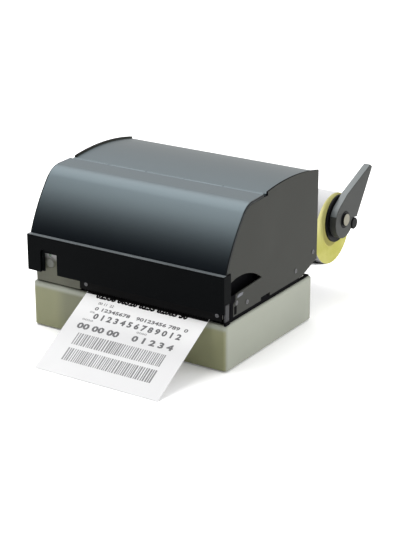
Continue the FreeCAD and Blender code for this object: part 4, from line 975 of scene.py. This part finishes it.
# Blade lever
# A thick slate-grey moulding turns on the end of the spindle: a round hub that runs out into a
# wide pointed blade, with a black knob in its corner. Its front faces above 96 mm are painted
# paler, a painted highlight. A tan bush shows in the hub, ringed in black, which is painted
# shade of the hole round it.

slate = painted("lever_plastic", (0.032, 0.034, 0.032), (0.043, 0.045, 0.042), 1300.0, 0.5, 0.1,
                Specular_IOR_Level=0.2)
lit_face_paint = painted("lever_lit_face", (0.105, 0.12, 0.122), (0.13, 0.147, 0.15), 1300.0, 0.45, 0.1)
tan = surface("hub_bush", (0.18, 0.168, 0.12), (0.25, 0.232, 0.17), 600.0, (0.4, 0.5), 0.05)
blade = Piece("blade", "blade", "lever_plastic", slate, moulding, lit_face_paint).cad(
    "blade_lever", 0.7, segments=3)
lit_face_from, blade_face, spindle_end = 96.0, extent("blade_lever", "X")[1], extent("roll_spindle", "X")[1]
shade_ring_radius, shade_ring_bore, bush_radius, knob_radius = 9.6, 7.2, 6.6, 6.5
# Painted highlight: the paler paint on the blade's front faces above 96 mm.
blade.repaint(2, lambda spot, way: way.y < -0.3 and abs(way.x) < 0.5 and spot.z > lit_face_from)
# Painted shade: a black ring for the shaded hole round the bush.
blade.tube(blade_face - 0.2, blade_face + 0.4, spindle, shade_ring_radius, shade_ring_bore, finish=1, edge=0.2)
blade.done("blade_lever")
Piece("hub_bush", "chassis", "holder_plastic", tan).rod(
    spindle_end - 0.1, spindle_end + 0.3, spindle, bush_radius, 0.15).done()
Piece("blade_knob", "blade", "holder_plastic", moulding).shaft("lever_knob", knob_radius, 0.8).done(
    "lever_knob")


# Lips of the air slots
# The rear wall's steel is pressed out into a thin lip above each air slot, in the same paint.
# The lips are copies of one bar, set out by geometry nodes.

slot_columns, slot_rows, slot_pitch = (33.0, 81.0), 6, 8.0
lip_y, first_lip = extent("rear_panel", "Y")[1] + 0.2, 91.6
lips = Graph("vent_lips", Length=38.6, Height=0.9, Depth=0.7)
lip_size = lips.node("ShaderNodeCombineXYZ", (), {"X": "Length", "Y": "Depth", "Z": "Height"})
lip = lips.node("GeometryNodeMeshCube", (), {"Size": lip_size})
spots = [(x, lip_y, first_lip + slot_pitch * i) for x in slot_columns for i in range(slot_rows)]
take(Piece("vent_lips", "chassis", "body_paint", body_paint),
     lips.build("vent_lips", spots, lip, body_paint), 0.2).done()


# Screws
# Cross-recessed pan heads hold the covers, the tear bar and the motor, and hexagon bolts the
# roll arm. One geometry nodes head is set on every place, each turned at random about its axis.

bright = surface("screw_steel", (0.34, 0.34, 0.33), (0.46, 0.46, 0.45), 900.0, (0.25, 0.35), 0.05,
                 Metallic=1.0)
dim = surface("screw_dim", (0.08, 0.08, 0.085), (0.13, 0.13, 0.135), 900.0, (0.35, 0.45), 0.05,
              Metallic=0.6)
blacked = surface("screw_black", (0.02, 0.02, 0.021), (0.04, 0.04, 0.042), 900.0, (0.3, 0.4), 0.05,
                  Metallic=0.5)


def screws(name, finish, places, radius, height, *replaced, sides=28, cross=True):
    """Screw heads on (x, y, z) places with the direction each one points to."""
    made = Graph(name, Sides=sides, Radius=radius, Height=height)
    head = made.node("GeometryNodeMeshCylinder", (), {
        "Vertices": "Sides", "Radius": "Radius", "Depth": "Height"})
    if cross:
        arms = [made.moved(made.node("GeometryNodeMeshCube", (), {"Size": size}),
                           Translation=(0, 0, height * 0.6))
                for size in ((radius * 1.2, radius * 0.3, height), (radius * 0.3, radius * 1.2, height))]
        recess = made.node("GeometryNodeMeshBoolean", {"operation": "UNION"}, {1: arms[0]})
        made.tree.links.new(arms[1], recess.node.inputs[1])
        head = made.node("GeometryNodeMeshBoolean", {"operation": "DIFFERENCE"}, {0: head, 1: recess})
    aim = made.node("GeometryNodeInputNamedAttribute", {"data_type": "FLOAT_VECTOR"}, {"Name": "aim"})
    lean = made.node("FunctionNodeAlignRotationToVector", {"axis": "Z"}, {"Vector": aim})
    spin = made.node("FunctionNodeRandomValue", {"data_type": "FLOAT"},
                     {2: 0.0, 3: 3.14, "Seed": 4}, out=1)
    about = made.node("FunctionNodeAxisAngleToRotation", (), {"Axis": (0.0, 0.0, 1.0), "Angle": spin})
    turn = made.node("FunctionNodeRotateRotation", {"rotation_space": "LOCAL"}, {0: lean, 1: about})
    points = [Vector(spot) + Vector(way) * height / 2 for spot, way in places]
    mesh = made.build(name, points, head, finish, turn, [way for spot, way in places])
    take(Piece(name, "chassis", "screw_steel", finish), mesh, height * 0.12).done(*replaced)


right, left, rear, forward, down = (1, 0, 0), (-1, 0, 0), (0, 1, 0), (0, -1, 0), (0, 0, -1)
rear_face, arm_face, base_under = extent("rear_panel", "Y")[1], 184.0, 2.0
screws("tear_bar_screws", dim, [((x, bar_front, tear_screw_z), forward) for x in tear_screw_x], 2.0, 0.9)
screws("arm_bolts", bright, [((x, arm_face, z), rear) for x in (-48.0, -36.0) for z in (80.5, 120.0)],
       3.8, 2.2, "machine_screws", sides=6, cross=False)
screws("side_screws", dim,
       [((x, y, z), way) for x, way in ((side_face, right), (-side_face, left))
        for y, z in ((19.2, 69.0), (39.0, 63.6), (136.0, 65.7), (172.0, 76.0))], 2.4, 0.5)
screws("rear_screws", blacked,
       [((x, rear_face, z), rear) for x in (-111.0, 0.0, 111.0) for z in (78.0, 154.0)], 2.6, 1.0)
screws("base_screws", bright,
       [((x, y, base_under), down) for x in (-106.0, 106.0) for y in (14.0, 157.0)], 2.6, 0.9)
screws("motor_screws", bright,
       [((-69.5, motor_y + a, motor_z + b), left) for a, b in ((17.5, -20.0), (17.5, 22.5))] +
       [((-68.0, motor_y + a, motor_z + b), right) for a in (-15.5, 15.5) for b in (-15.5, 15.5)],
       2.2, 0.9)

low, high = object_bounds()
